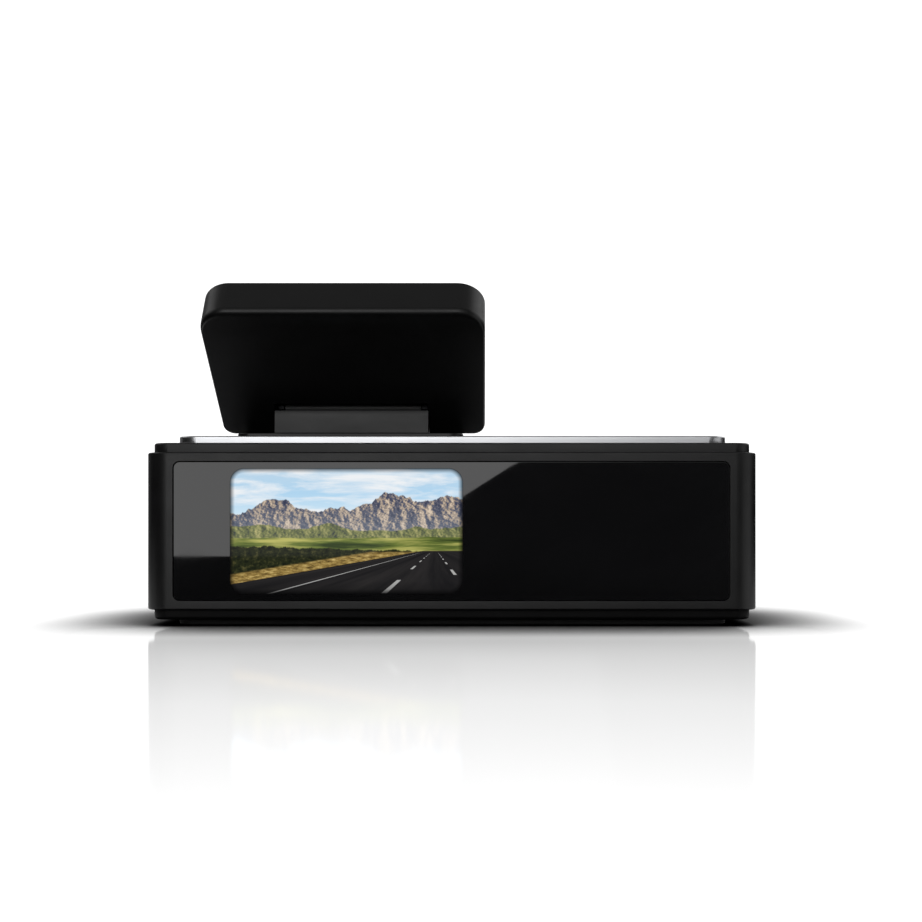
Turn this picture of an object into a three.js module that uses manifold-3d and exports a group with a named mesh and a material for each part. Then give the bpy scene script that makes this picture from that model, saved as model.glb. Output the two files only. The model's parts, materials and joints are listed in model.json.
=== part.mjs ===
// Dash camera on a windscreen mount.
// Millimetres, +Z up. X runs across the display, Y from the driver's side to the windscreen side.
// The origin is on the surface the camera stands on, under the middle of the body.
import * as THREE from 'three';
import { mergeVertices } from 'three/addons/utils/BufferGeometryUtils.js';
import Module from 'manifold-3d';

const wasm = await Module();
wasm.setup();

// ---------------------------------------------------------------- driving dimensions

// Camera body: a tall band between thinner covers, with a trim plate above and a pad below.
const BODY_WIDTH = 85.8;
const BODY_DEPTH = 36;
const PAD_HEIGHT = 0.9;
const BOTTOM_COVER_HEIGHT = 1.4;
const BAND_HEIGHT = 22;
const TOP_COVER_HEIGHT = 1.35;
const TRIM_HEIGHT = 1.15;
const BAND_RADIUS = 3.4;
const COVER_INSET = 0.9;
const COVER_RADIUS = 2.4;
const TRIM_INSET = 3.7;
const TRIM_RADIUS = 2.9;
const WALL = 1.8;
const FRONT_WALL = 2.2;
const FIT_GAP = 0.3;
const HAIR_GAP = 0.05;

// Front glass and display.
const GLASS_WIDTH = 77.2;
const GLASS_HEIGHT = 19.15;
const GLASS_THICKNESS = 1.1;
const GLASS_RADIUS = 0.8;
const GLASS_GAP = 0.15;
const GLASS_RECESS = 1.45;
const DISPLAY_X = -14.6;
const DISPLAY_WIDTH = 36;
const DISPLAY_HEIGHT = 19.6;
const DISPLAY_THICKNESS = 1.9;
const WINDOW_WIDTH = 33.6;
const WINDOW_HEIGHT = 18.1;

// Lens, on the windscreen side.
const LENS_X = 20;
const LENS_HOLE_RADIUS = 8.5;
const BEZEL_RADIUS = 10.2;
const BEZEL_LENGTH = 2.75;

// Side openings: card slot and power button on the right, power inlet and record button on the left.
const BOARD_Y = -9;
const BOARD_WIDTH = 76;
const BOARD_HEIGHT = 18.6;
const BOARD_THICKNESS = 1.2;
const BUTTON_Y = 2.5;
const BUTTON_LENGTH = 8;
const BUTTON_WIDTH = 4.4;
const LIGHT_Y = 8.6;
const CARD_LENGTH = 15;
const CARD_WIDTH = 11;
const CARD_THICKNESS = 1;
const INLET_WIDTH = 8.9;
const INLET_THICKNESS = 3.2;
const INLET_DEPTH = 7.3;

// Windscreen mount: a foot that slides in a T-shaped channel, and a plate hinged on it.
const MOUNT_X = -15.2;
const FOOT_WIDTH = 33.3;
const FOOT_FRONT = -8;
const FOOT_BACK = 12;
const FOOT_HEIGHT = 0.8;
const RAIL_FRONT = -6;
const RAIL_BACK = 8;
const RAIL_NECK_WIDTH = 10;
const RAIL_WIDTH = 14;
const RAIL_HEIGHT = 0.8;
const BLOCK_WIDTH = 22.6;
const BLOCK_FRONT = -5;
const BLOCK_BACK = 1.1;
const BLOCK_HEIGHT = 3.5;
const HINGE_Y = -0.7;
const HINGE_Z = 31.9;
const BLOCK_BEVEL_DEPTH = 0.15;
const BLOCK_BEVEL_HEIGHT = 0.75;
const KNUCKLE_RADIUS = 1.9;
const KNUCKLE_WIDTH = 20.4;
const PIN_RADIUS = 1.2;
const PIN_LENGTH = 32;
const PLATE_LEAN = THREE.MathUtils.degToRad(53);
const PLATE_WIDTH = 39.8;
const PLATE_HEIGHT = 25.5;
const PLATE_THICKNESS = 6;
const PLATE_RADIUS = 4;
const PLATE_LOW_RADIUS = 1.7;
const PLATE_CHAMFER = 0.3;
const PLATE_BELOW_HINGE = 2.9;
const PLATE_BEFORE_HINGE = 2.7;

// ---------------------------------------------------------------- levels worked out from them

const COVER_BOTTOM = PAD_HEIGHT;
const BAND_BOTTOM = COVER_BOTTOM + BOTTOM_COVER_HEIGHT;
const BAND_TOP = BAND_BOTTOM + BAND_HEIGHT;
const COVER_TOP = BAND_TOP + TOP_COVER_HEIGHT;
const TRIM_TOP = COVER_TOP + TRIM_HEIGHT;
const BAND_MIDDLE = (BAND_BOTTOM + BAND_TOP) / 2;
const FRONT = -BODY_DEPTH / 2;
const BACK = BODY_DEPTH / 2;
const SIDE = BODY_WIDTH / 2;
const INNER_SIDE = SIDE - WALL;
const INNER_FRONT = FRONT + FRONT_WALL;
const INNER_BACK = BACK - WALL;
const BOARD_BACK = BOARD_Y + BOARD_THICKNESS / 2;
const FOOT_BOTTOM = TRIM_TOP + 2 * HAIR_GAP;
const FOOT_TOP = FOOT_BOTTOM + FOOT_HEIGHT;

// ---------------------------------------------------------------- shape helpers

/** A rectangle with rounded corners, centred at (x, y). */
function roundedRectangle(width, height, radius, x = 0, y = 0, low = radius) {
  const halfWidth = width / 2;
  const halfHeight = height / 2;
  const shape = new THREE.Shape();
  shape.absarc(x + halfWidth - radius, y + halfHeight - radius, radius, 0, Math.PI / 2);
  shape.absarc(x - halfWidth + radius, y + halfHeight - radius, radius, Math.PI / 2, Math.PI);
  shape.absarc(x - halfWidth + low, y - halfHeight + low, low, Math.PI, Math.PI * 1.5);
  shape.absarc(x + halfWidth - low, y - halfHeight + low, low, Math.PI * 1.5, Math.PI * 2);
  shape.closePath();
  return shape;
}

/** A flat outline raised from z = bottom to z = top. */
function raised(shape, bottom, top, segments = 6) {
  const geometry = new THREE.ExtrudeGeometry(shape, {
    depth: top - bottom,
    bevelEnabled: false,
    curveSegments: segments,
  });
  return geometry.translate(0, 0, bottom);
}

/** An outline drawn in X and Z, given depth along Y from y = from to y = to. */
function facingFront(shape, from, to, segments = 6) {
  return raised(shape, -to, -from, segments).rotateX(Math.PI / 2);
}

/** An outline drawn in Y and Z, given depth along X from x = from to x = to. */
function facingSide(shape, from, to, segments = 5) {
  return raised(shape, from, to, segments).rotateX(Math.PI / 2).rotateZ(Math.PI / 2);
}

/** A box given by its middle and its size. */
function block(x, y, z, width, depth, height) {
  return new THREE.BoxGeometry(width, depth, height).translate(x, y, z);
}

/** A box given by its lowest and highest corners. */
function blockBetween([x0, y0, z0], [x1, y1, z1]) {
  return block((x0 + x1) / 2, (y0 + y1) / 2, (z0 + z1) / 2, x1 - x0, y1 - y0, z1 - z0);
}

/** A cylinder along 'x', 'y' or 'z', from one place on that axis to another. */
function rod(axis, radius, from, to, x, y, z, sides = 20) {
  const geometry = new THREE.CylinderGeometry(radius, radius, to - from, sides);
  const middle = (from + to) / 2;
  if (axis === 'x') {
    return geometry.rotateZ(-Math.PI / 2).translate(middle, y, z);
  }
  if (axis === 'y') {
    return geometry.translate(x, middle, z);
  }
  return geometry.rotateX(Math.PI / 2).translate(x, y, middle);
}

/** A body turned around the lens axis. The profile is a list of [radius, y]. */
function turnedLens(profile, sides = 32) {
  const points = profile.map(([radius, y]) => new THREE.Vector2(radius, y));
  return new THREE.LatheGeometry(points, sides).translate(LENS_X, 0, BAND_MIDDLE);
}

/** A ring profile, closed on itself, is turned in the order that leaves its faces outward. */
function closedProfile(points) {
  return [...points, points[0]];
}

/** A closed geometry as a manifold solid. */
function solid(geometry) {
  const bare = geometry.index ? geometry.toNonIndexed() : geometry.clone();
  bare.deleteAttribute('normal');
  bare.deleteAttribute('uv');
  const merged = mergeVertices(bare, 1e-5);
  return new wasm.Manifold(new wasm.Mesh({
    numProp: 3,
    vertProperties: Float32Array.from(merged.attributes.position.array),
    triVerts: Uint32Array.from(merged.index.array),
  }));
}

/** A manifold solid as a geometry. */
function surface(body) {
  const mesh = body.getMesh();
  const geometry = new THREE.BufferGeometry();
  geometry.setAttribute('position', new THREE.BufferAttribute(mesh.vertProperties, 3));
  geometry.setIndex(new THREE.BufferAttribute(mesh.triVerts, 1));
  geometry.computeVertexNormals();
  return geometry;
}

/** Geometries joined into one, with others cut out of the result. */
function carved(joined, cuts = []) {
  let body = solid(joined[0]);
  for (const extra of joined.slice(1)) {
    body = body.add(solid(extra));
  }
  for (const cut of cuts) {
    body = body.subtract(solid(cut));
  }
  return surface(body);
}

// ---------------------------------------------------------------- materials and assembly

const FINISHES = {
  blackPlastic: { color: 0x1b1b1d, roughness: 0.5, metalness: 0 },
  satinBlack: { color: 0x26262a, roughness: 0.38, metalness: 0 },
  softBlack: { color: 0x0d0d0e, roughness: 0.8, metalness: 0 },
  polishedMetal: { color: 0xd8dadd, roughness: 0.12, metalness: 1 },
  glass: { color: 0x050506, roughness: 0.03, metalness: 0 },
  display: { color: 0x2f5f9c, roughness: 0.3, metalness: 0 },
  steel: { color: 0x9a9ca0, roughness: 0.3, metalness: 1 },
  aluminium: { color: 0xb9bcc0, roughness: 0.4, metalness: 1 },
  board: { color: 0x14502c, roughness: 0.6, metalness: 0 },
  ribbon: { color: 0xc07a24, roughness: 0.5, metalness: 0 },
  chip: { color: 0x101012, roughness: 0.5, metalness: 0 },
  lensGlass: { color: 0x1a2438, roughness: 0.02, metalness: 0 },
  ceramic: { color: 0xcfc6a8, roughness: 0.6, metalness: 0 },
  adhesive: { color: 0x3a3a3c, roughness: 0.9, metalness: 0 },
  thermal: { color: 0x8fa3b8, roughness: 0.8, metalness: 0 },
  lightPipe: { color: 0xe8f1f4, roughness: 0.2, metalness: 0 },
  sleeve: { color: 0x20304c, roughness: 0.45, metalness: 0 },
};

const camera = new THREE.Group();

/** Adds one named sub-part to a group. */
function addPart(name, geometry, finish, group = camera) {
  const mesh = new THREE.Mesh(geometry, new THREE.MeshStandardMaterial(FINISHES[finish]));
  mesh.name = name;
  group.add(mesh);
  return mesh;
}

/** The four corners of a rectangle centred on the origin, as [x, y] pairs. */
function corners(x, y) {
  return [[-x, -y], [x, -y], [x, y], [-x, y]];
}

// ---------------------------------------------------------------- housing

const BOSS_X = 36.8;
const BOSS_Y = 11.9;
const BOSS_RADIUS = 2.1;
const RIB_THICKNESS = 2;
const BOSS_MARGIN = 1.5;
const PILOT_RADIUS = 1.3;
const PILOT_DEPTH = 6;

/** Rounded outline of the body, drawn in by an inset. */
function bodyOutline(inset, radius) {
  return roundedRectangle(BODY_WIDTH - 2 * inset, BODY_DEPTH - 2 * inset, radius);
}

function mainHousing() {
  const cavity = roundedRectangle(
    2 * INNER_SIDE, INNER_BACK - INNER_FRONT, 1.6, 0, (INNER_BACK + INNER_FRONT) / 2,
  );
  const sleeve = surface(
    solid(raised(bodyOutline(0, BAND_RADIUS), BAND_BOTTOM, BAND_TOP, 7))
      .subtract(solid(raised(cavity, BAND_BOTTOM - 1, BAND_TOP + 1, 3))),
  );
  const bosses = corners(BOSS_X, BOSS_Y).map(([x, y]) => rod(
    'z', BOSS_RADIUS, BAND_BOTTOM + BOSS_MARGIN, BAND_TOP - BOSS_MARGIN, x, y, 0, 16,
  ));
  const ribs = corners(BOSS_X, BOSS_Y).map(([x, y]) => block(
    Math.sign(x) * (BOSS_X + INNER_SIDE) / 2, y, BAND_MIDDLE,
    INNER_SIDE - BOSS_X + 0.4, RIB_THICKNESS, BAND_HEIGHT - 2 * BOSS_MARGIN,
  ));
  const pilots = corners(BOSS_X, BOSS_Y).flatMap(([x, y]) => [
    rod('z', PILOT_RADIUS, BAND_BOTTOM, BAND_BOTTOM + PILOT_DEPTH, x, y, 0, 10),
    rod('z', PILOT_RADIUS, BAND_TOP - PILOT_DEPTH, BAND_TOP, x, y, 0, 10),
  ]);
  const glassRecess = facingFront(
    roundedRectangle(
      GLASS_WIDTH + 2 * GLASS_GAP, GLASS_HEIGHT + 2 * GLASS_GAP, GLASS_RADIUS + GLASS_GAP,
      0, BAND_MIDDLE,
    ),
    FRONT - 1, FRONT + GLASS_RECESS, 3,
  );
  const displayWindow = facingFront(
    roundedRectangle(WINDOW_WIDTH, WINDOW_HEIGHT, 1.5, DISPLAY_X, BAND_MIDDLE),
    FRONT - 1, INNER_FRONT + 0.5, 3,
  );
  const lensHole = rod('y', LENS_HOLE_RADIUS, INNER_BACK - 1, BACK + 1, LENS_X, 0, BAND_MIDDLE, 32);
  return carved([sleeve, ...bosses, ...ribs], [
    ...pilots, glassRecess, displayWindow, lensHole, ...vents(), ...sideOpenings(),
  ]);
}

const VENT_COUNT = 11;
const VENT_PITCH = 2.7;
const VENT_WIDTH = 1.3;
const VENT_HEIGHT = 10;
const VENT_MIDDLE_X = -18;

/** Upright slots that let air through the windscreen-side wall. */
function vents() {
  return Array.from({ length: VENT_COUNT }, (_, index) => {
    const x = VENT_MIDDLE_X + (index - (VENT_COUNT - 1) / 2) * VENT_PITCH;
    return block(x, BACK - WALL / 2, BAND_MIDDLE, VENT_WIDTH, WALL + 1, VENT_HEIGHT);
  });
}

const CARD_Y = BOARD_BACK + 1;
const INLET_Y = BOARD_BACK + 0.3 + INLET_THICKNESS / 2;
const MICROPHONE_Y = 9;

/** The rounded outline of a button, grown by a margin. */
function buttonOutline(margin) {
  return roundedRectangle(
    BUTTON_LENGTH + 2 * margin, BUTTON_WIDTH + 2 * margin, BUTTON_WIDTH / 2 + margin - 0.01,
    BUTTON_Y, BAND_MIDDLE,
  );
}

/** The rounded outline of the power inlet, grown by a margin, standing upright. */
function inletOutline(margin) {
  return roundedRectangle(
    INLET_THICKNESS + 2 * margin, INLET_WIDTH + 2 * margin, INLET_THICKNESS / 2 + margin - 0.01,
    INLET_Y, BAND_MIDDLE,
  );
}

function sideOpenings() {
  const inside = INNER_SIDE - 0.5;
  const outside = SIDE + 1;
  return [
    facingSide(buttonOutline(FIT_GAP), inside, outside),
    facingSide(buttonOutline(FIT_GAP), -outside, -inside),
    facingSide(inletOutline(FIT_GAP), -outside, -inside),
    block(SIDE, CARD_Y, BAND_MIDDLE, 2 * WALL + 1, CARD_THICKNESS + 0.5, CARD_WIDTH + 0.6),
    rod('x', 1.1, inside, outside, 0, LIGHT_Y, BAND_MIDDLE, 12),
    rod('x', 0.6, -outside, -inside, 0, MICROPHONE_Y, BAND_MIDDLE, 8),
  ];
}

addPart('main_housing', mainHousing(), 'satinBlack');

// ---------------------------------------------------------------- covers, trim plate and pad

const RIM_HEIGHT = 0.8;
const RIM_THICKNESS = 1.2;
const SCREW_HEAD_RADIUS = 1.8;
const SCREW_HEAD_HEIGHT = 0.9;
const SCREW_SHANK_RADIUS = 1;
const SCREW_LENGTH = 6;
const CHANNEL_FRONT = RAIL_FRONT - FIT_GAP;
const CHANNEL_FLOOR = 1.4;

/** The locating rim of a cover, which sits inside the housing's opening. */
function coverRim(bottom, top) {
  const middle = (INNER_BACK + INNER_FRONT) / 2;
  const width = 2 * (INNER_SIDE - FIT_GAP);
  const depth = INNER_BACK - INNER_FRONT - 2 * FIT_GAP;
  const outer = roundedRectangle(width, depth, 1.4, 0, middle);
  const inner = roundedRectangle(width - 2 * RIM_THICKNESS, depth - 2 * RIM_THICKNESS, 0.6, 0, middle);
  return surface(solid(raised(outer, bottom, top, 3))
    .subtract(solid(raised(inner, bottom - 1, top + 1, 3))));
}

/** A stepped hole for one screw. The head sits against the outer face. */
function screwHole(x, y, outerFace, inward) {
  const outside = outerFace - inward;
  const seat = outerFace + inward * (SCREW_HEAD_HEIGHT + HAIR_GAP);
  const end = outerFace + inward * (SCREW_LENGTH + 1);
  const headRadius = SCREW_HEAD_RADIUS + FIT_GAP;
  const shankRadius = SCREW_SHANK_RADIUS + FIT_GAP;
  return [
    rod('z', headRadius, Math.min(seat, outside), Math.max(seat, outside), x, y, 0, 16),
    rod('z', shankRadius, Math.min(seat, end), Math.max(seat, end), x, y, 0, 10),
  ];
}

/** One screw with its head against the outer face, pointing inward. */
function coverScrew(x, y, outerFace, inward) {
  const top = outerFace + inward * HAIR_GAP;
  const seat = top + inward * SCREW_HEAD_HEIGHT;
  const end = top + inward * SCREW_LENGTH;
  return carved([
    rod('z', SCREW_HEAD_RADIUS, Math.min(top, seat), Math.max(top, seat), x, y, 0, 16),
    rod('z', SCREW_SHANK_RADIUS, Math.min(top, end), Math.max(top, end), x, y, 0, 10),
  ]);
}

function topCover() {
  const slab = raised(bodyOutline(COVER_INSET, COVER_RADIUS), BAND_TOP, COVER_TOP);
  const rim = coverRim(BAND_TOP - RIM_HEIGHT, BAND_TOP + 0.2);
  const channelFloor = blockBetween(
    [MOUNT_X - RAIL_WIDTH / 2 - 2, CHANNEL_FRONT - 2, BAND_TOP - CHANNEL_FLOOR],
    [MOUNT_X + RAIL_WIDTH / 2 + 2, INNER_BACK - FIT_GAP, BAND_TOP + 0.2],
  );
  const channel = blockBetween(
    [MOUNT_X - RAIL_WIDTH / 2 - FIT_GAP, CHANNEL_FRONT, BAND_TOP],
    [MOUNT_X + RAIL_WIDTH / 2 + FIT_GAP, BACK + 1, COVER_TOP + 1],
  );
  const holes = corners(BOSS_X, BOSS_Y).flatMap(([x, y]) => screwHole(x, y, COVER_TOP, -1));
  return carved([slab, rim, channelFloor], [channel, ...holes]);
}

const GRILLE_X = -16.5;
const GRILLE_Y = 6.5;
const GRILLE_PITCH = 2.4;
const GRILLE_RADIUS = 0.65;
const GRILLE_COLUMNS = 5;
const GRILLE_ROWS = 3;

/** Rows of round holes below the speaker. */
function grilleHoles() {
  const holes = [];
  for (let row = 0; row < GRILLE_ROWS; row += 1) {
    for (let column = 0; column < GRILLE_COLUMNS; column += 1) {
      const x = GRILLE_X + (column - (GRILLE_COLUMNS - 1) / 2) * GRILLE_PITCH;
      const y = GRILLE_Y + (row - (GRILLE_ROWS - 1) / 2) * GRILLE_PITCH;
      holes.push(rod('z', GRILLE_RADIUS, COVER_BOTTOM - 1, BAND_BOTTOM + 1, x, y, 0, 8));
    }
  }
  return holes;
}

function bottomCover() {
  const slab = raised(bodyOutline(COVER_INSET, COVER_RADIUS), COVER_BOTTOM, BAND_BOTTOM);
  const rim = coverRim(BAND_BOTTOM - 0.2, BAND_BOTTOM + RIM_HEIGHT);
  const holes = corners(BOSS_X, BOSS_Y).flatMap(([x, y]) => screwHole(x, y, COVER_BOTTOM, 1));
  return carved([slab, rim], [...holes, ...grilleHoles()]);
}

function topTrimPlate() {
  const plate = raised(bodyOutline(TRIM_INSET, TRIM_RADIUS), COVER_TOP, TRIM_TOP);
  const slot = blockBetween(
    [MOUNT_X - RAIL_NECK_WIDTH / 2 - FIT_GAP, CHANNEL_FRONT, COVER_TOP - 1],
    [MOUNT_X + RAIL_NECK_WIDTH / 2 + FIT_GAP, BACK, TRIM_TOP + 1],
  );
  return carved([plate], [slot]);
}

function basePad() {
  const pad = raised(bodyOutline(TRIM_INSET, TRIM_RADIUS), 0, PAD_HEIGHT);
  const width = GRILLE_COLUMNS * GRILLE_PITCH + 1;
  const depth = GRILLE_ROWS * GRILLE_PITCH + 1;
  const opening = raised(roundedRectangle(width, depth, 2.5, GRILLE_X, GRILLE_Y), -1, PAD_HEIGHT + 1, 4);
  return carved([pad], [opening]);
}

addPart('top_cover', topCover(), 'satinBlack');
addPart('top_trim_plate', topTrimPlate(), 'polishedMetal');
addPart('bottom_cover', bottomCover(), 'blackPlastic');
addPart('base_pad', basePad(), 'softBlack');
corners(BOSS_X, BOSS_Y).forEach(([x, y], index) => {
  addPart(`top_screw_${index + 1}`, coverScrew(x, y, COVER_TOP, -1), 'steel');
  addPart(`bottom_screw_${index + 1}`, coverScrew(x, y, COVER_BOTTOM, 1), 'steel');
});

// ---------------------------------------------------------------- front glass and display

const GLASS_FRONT = FRONT + HAIR_GAP;
const GLASS_BACK = GLASS_FRONT + GLASS_THICKNESS;
const DISPLAY_FRONT = INNER_FRONT + FIT_GAP;
const DISPLAY_BACK = DISPLAY_FRONT + DISPLAY_THICKNESS;

function glassAdhesive() {
  const outer = roundedRectangle(GLASS_WIDTH - 1, GLASS_HEIGHT - 0.2, 0.6, 0, BAND_MIDDLE);
  outer.holes.push(
    roundedRectangle(WINDOW_WIDTH + 0.2, WINDOW_HEIGHT + 0.2, 1.5, DISPLAY_X, BAND_MIDDLE),
  );
  return facingFront(outer, GLASS_BACK + HAIR_GAP, FRONT + GLASS_RECESS - HAIR_GAP, 3);
}

function displayBracket() {
  const outer = roundedRectangle(DISPLAY_WIDTH + 2, DISPLAY_HEIGHT, 1, DISPLAY_X, BAND_MIDDLE);
  outer.holes.push(roundedRectangle(24, 11, 1, DISPLAY_X, BAND_MIDDLE));
  return facingFront(outer, DISPLAY_BACK + HAIR_GAP, DISPLAY_BACK + 0.85, 3);
}

/** A flat ribbon that follows a list of [x, y] points, with its width along Z. */
function ribbon(points, thickness, width) {
  const half = thickness / 2;
  const leftSide = [];
  const rightSide = [];
  points.forEach(([x, y], index) => {
    const [beforeX, beforeY] = points[Math.max(index - 1, 0)];
    const [afterX, afterY] = points[Math.min(index + 1, points.length - 1)];
    const along = new THREE.Vector2(afterX - beforeX, afterY - beforeY).normalize();
    leftSide.push(new THREE.Vector2(x - along.y * half, y + along.x * half));
    rightSide.unshift(new THREE.Vector2(x + along.y * half, y - along.x * half));
  });
  const outline = new THREE.Shape([...leftSide, ...rightSide]);
  return raised(outline, BAND_MIDDLE - width / 2, BAND_MIDDLE + width / 2);
}

const displayRibbonPath = [
  [DISPLAY_X + 8, DISPLAY_BACK + 0.5],
  [DISPLAY_X + 8.6, DISPLAY_BACK + 1.6],
  [DISPLAY_X + 10.4, DISPLAY_BACK + 2.2],
  [DISPLAY_X + 12.2, DISPLAY_BACK + 2.6],
  [DISPLAY_X + 12.8, BOARD_Y - BOARD_THICKNESS / 2 - 0.3],
];

addPart(
  'glass_panel',
  facingFront(
    roundedRectangle(GLASS_WIDTH, GLASS_HEIGHT, GLASS_RADIUS, 0, BAND_MIDDLE), GLASS_FRONT, GLASS_BACK, 3,
  ),
  'glass',
);
addPart('glass_adhesive', glassAdhesive(), 'adhesive');
addPart(
  'display_module',
  facingFront(
    roundedRectangle(DISPLAY_WIDTH, DISPLAY_HEIGHT, 2, DISPLAY_X, BAND_MIDDLE),
    DISPLAY_FRONT, DISPLAY_BACK, 3,
  ),
  'display',
);
addPart('display_bracket', displayBracket(), 'steel');
addPart('display_ribbon', ribbon(displayRibbonPath, 0.2, 8), 'ribbon');

// ---------------------------------------------------------------- electronics

const PROCESSOR_X = -12;
const PROCESSOR_SIZE = 13;
const THERMAL_SIZE = 12;
const PROCESSOR_BACK = BOARD_BACK + HAIR_GAP + 1.2;
const THERMAL_BACK = PROCESSOR_BACK + HAIR_GAP + 0.8;
const SINK_FRONT = THERMAL_BACK + HAIR_GAP;
const SINK_WIDTH = 30;
const SINK_HEIGHT = 12;
const FIN_COUNT = 9;
const FIN_LENGTH = 4;
const FIN_THICKNESS = 0.9;

/** A finned heat sink, drawn from above as a comb and raised. */
function heatSink() {
  const left = PROCESSOR_X - SINK_WIDTH / 2;
  const baseBack = SINK_FRONT + 1.2;
  const pitch = (SINK_WIDTH - FIN_THICKNESS) / (FIN_COUNT - 1);
  const comb = new THREE.Shape();
  comb.moveTo(left, SINK_FRONT);
  comb.lineTo(left + SINK_WIDTH, SINK_FRONT);
  for (let fin = FIN_COUNT - 1; fin >= 0; fin -= 1) {
    const finLeft = left + fin * pitch;
    comb.lineTo(finLeft + FIN_THICKNESS, baseBack);
    comb.lineTo(finLeft + FIN_THICKNESS, baseBack + FIN_LENGTH);
    comb.lineTo(finLeft, baseBack + FIN_LENGTH);
    comb.lineTo(finLeft, baseBack);
  }
  comb.closePath();
  return raised(comb, BAND_MIDDLE - SINK_HEIGHT / 2, BAND_MIDDLE + SINK_HEIGHT / 2);
}

addPart(
  'main_board',
  block(0, BOARD_Y, BAND_MIDDLE, BOARD_WIDTH, BOARD_THICKNESS, BOARD_HEIGHT),
  'board',
);
addPart(
  'processor',
  blockBetween(
    [PROCESSOR_X - PROCESSOR_SIZE / 2, BOARD_BACK + HAIR_GAP, BAND_MIDDLE - PROCESSOR_SIZE / 2],
    [PROCESSOR_X + PROCESSOR_SIZE / 2, PROCESSOR_BACK, BAND_MIDDLE + PROCESSOR_SIZE / 2],
  ),
  'chip',
);
addPart(
  'thermal_pad',
  blockBetween(
    [PROCESSOR_X - THERMAL_SIZE / 2, PROCESSOR_BACK + HAIR_GAP, BAND_MIDDLE - THERMAL_SIZE / 2],
    [PROCESSOR_X + THERMAL_SIZE / 2, THERMAL_BACK, BAND_MIDDLE + THERMAL_SIZE / 2],
  ),
  'thermal',
);
addPart('heat_sink', heatSink(), 'aluminium');

const CAPACITOR_RADIUS = 4;
const CAPACITOR_LENGTH = 17;
const CAPACITOR_Y = 9.5;
const CAPACITOR_MIDDLES = [-25.5, -7];
CAPACITOR_MIDDLES.forEach((x, index) => {
  addPart(
    `supercapacitor_${index + 1}`,
    rod('x', CAPACITOR_RADIUS, x - CAPACITOR_LENGTH / 2, x + CAPACITOR_LENGTH / 2,
      0, CAPACITOR_Y, BAND_MIDDLE + 1, 20),
    'sleeve',
  );
});

const SPEAKER_LENGTH = 15;
const SPEAKER_WIDTH = 10;
const SPEAKER_TOP = BAND_BOTTOM + 2.6;
const MAGNET_RADIUS = 3.6;
const MAGNET_HEIGHT = 0.8;
const MICROPHONE_INSET = 0.9;

/** The speaker: a flat frame over the grille with its round magnet on top. */
function speaker() {
  const outline = roundedRectangle(SPEAKER_LENGTH, SPEAKER_WIDTH, 2, GRILLE_X, GRILLE_Y);
  return carved([
    raised(outline, BAND_BOTTOM + FIT_GAP, SPEAKER_TOP, 4),
    rod('z', MAGNET_RADIUS, SPEAKER_TOP - 0.2, SPEAKER_TOP + MAGNET_HEIGHT, GRILLE_X, GRILLE_Y, 0, 16),
  ]);
}

addPart('speaker', speaker(), 'chip');
addPart(
  'microphone',
  block(-INNER_SIDE + MICROPHONE_INSET, MICROPHONE_Y - 0.1, BAND_MIDDLE, 1.2, 2.6, 2.8),
  'steel',
);
addPart('satellite_antenna', block(-31.5, 0.5, BAND_TOP - 2.9, 12, 9, 3.6), 'ceramic');
addPart('wireless_antenna', block(22, -4, BAND_TOP - 0.7, 20, 5, 0.6), 'board');

// ---------------------------------------------------------------- power inlet and memory card

const INLET_FACE = -SIDE + 0.6;

/** A metal shell, open at its outer end, with a contact tongue inside. */
function powerInlet() {
  const inner = INLET_FACE + INLET_DEPTH;
  const shell = facingSide(inletOutline(0), INLET_FACE, inner);
  const hollow = facingSide(inletOutline(-0.35), INLET_FACE - 1, inner - 0.8);
  const tongue = blockBetween(
    [INLET_FACE + 0.8, INLET_Y - 0.35, BAND_MIDDLE - 3.3],
    [inner - 0.5, INLET_Y + 0.35, BAND_MIDDLE + 3.3],
  );
  return surface(solid(shell).subtract(solid(hollow)).add(solid(tongue)));
}

const CARD_END = SIDE - 0.7;

/** The card's socket: a flat shell with a hollow that the card slides in. */
function cardSocket() {
  const shell = blockBetween(
    [CARD_END - CARD_LENGTH - 2.4, CARD_Y - 0.9, BAND_MIDDLE - CARD_WIDTH / 2 - 1.2],
    [CARD_END - 2.6, CARD_Y + 1.1, BAND_MIDDLE + CARD_WIDTH / 2 + 1.2],
  );
  const hollow = blockBetween(
    [CARD_END - CARD_LENGTH - 1.4, CARD_Y - CARD_THICKNESS / 2 - 0.2, BAND_MIDDLE - CARD_WIDTH / 2 - 0.2],
    [CARD_END, CARD_Y + CARD_THICKNESS / 2 + 0.2, BAND_MIDDLE + CARD_WIDTH / 2 + 0.2],
  );
  return carved([shell], [hollow]);
}

addPart('power_inlet', powerInlet(), 'steel');
addPart('card_socket', cardSocket(), 'steel');
addPart(
  'memory_card',
  block(CARD_END - CARD_LENGTH / 2, CARD_Y, BAND_MIDDLE, CARD_LENGTH, CARD_THICKNESS, CARD_WIDTH),
  'chip',
);

// ---------------------------------------------------------------- buttons and status light

const BUTTON_FACE = SIDE - 0.1;
const BUTTON_FLANGE_FRONT = INNER_SIDE - 0.2;
const BUTTON_BACK = INNER_SIDE - 1.1;
const SWITCH_FACE = BUTTON_BACK - 0.6;
const SWITCH_BACK = SWITCH_FACE - 1.5;
const SWITCH_BOARD_BACK = SWITCH_BACK - HAIR_GAP - 0.8;
const SWITCH_BOARD_REACH = 5.5;

/** Turns a piece of the right side over to the left side. */
function onSide(geometry, side) {
  if (side > 0) {
    return geometry;
  }
  return geometry.translate(0, -BUTTON_Y, 0).rotateZ(Math.PI).translate(0, BUTTON_Y, 0);
}

function button(side) {
  const cap = facingSide(buttonOutline(0), BUTTON_BACK + 0.2, BUTTON_FACE);
  const flange = facingSide(buttonOutline(0.8), BUTTON_BACK, BUTTON_FLANGE_FRONT);
  return onSide(carved([cap, flange]), side);
}

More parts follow.
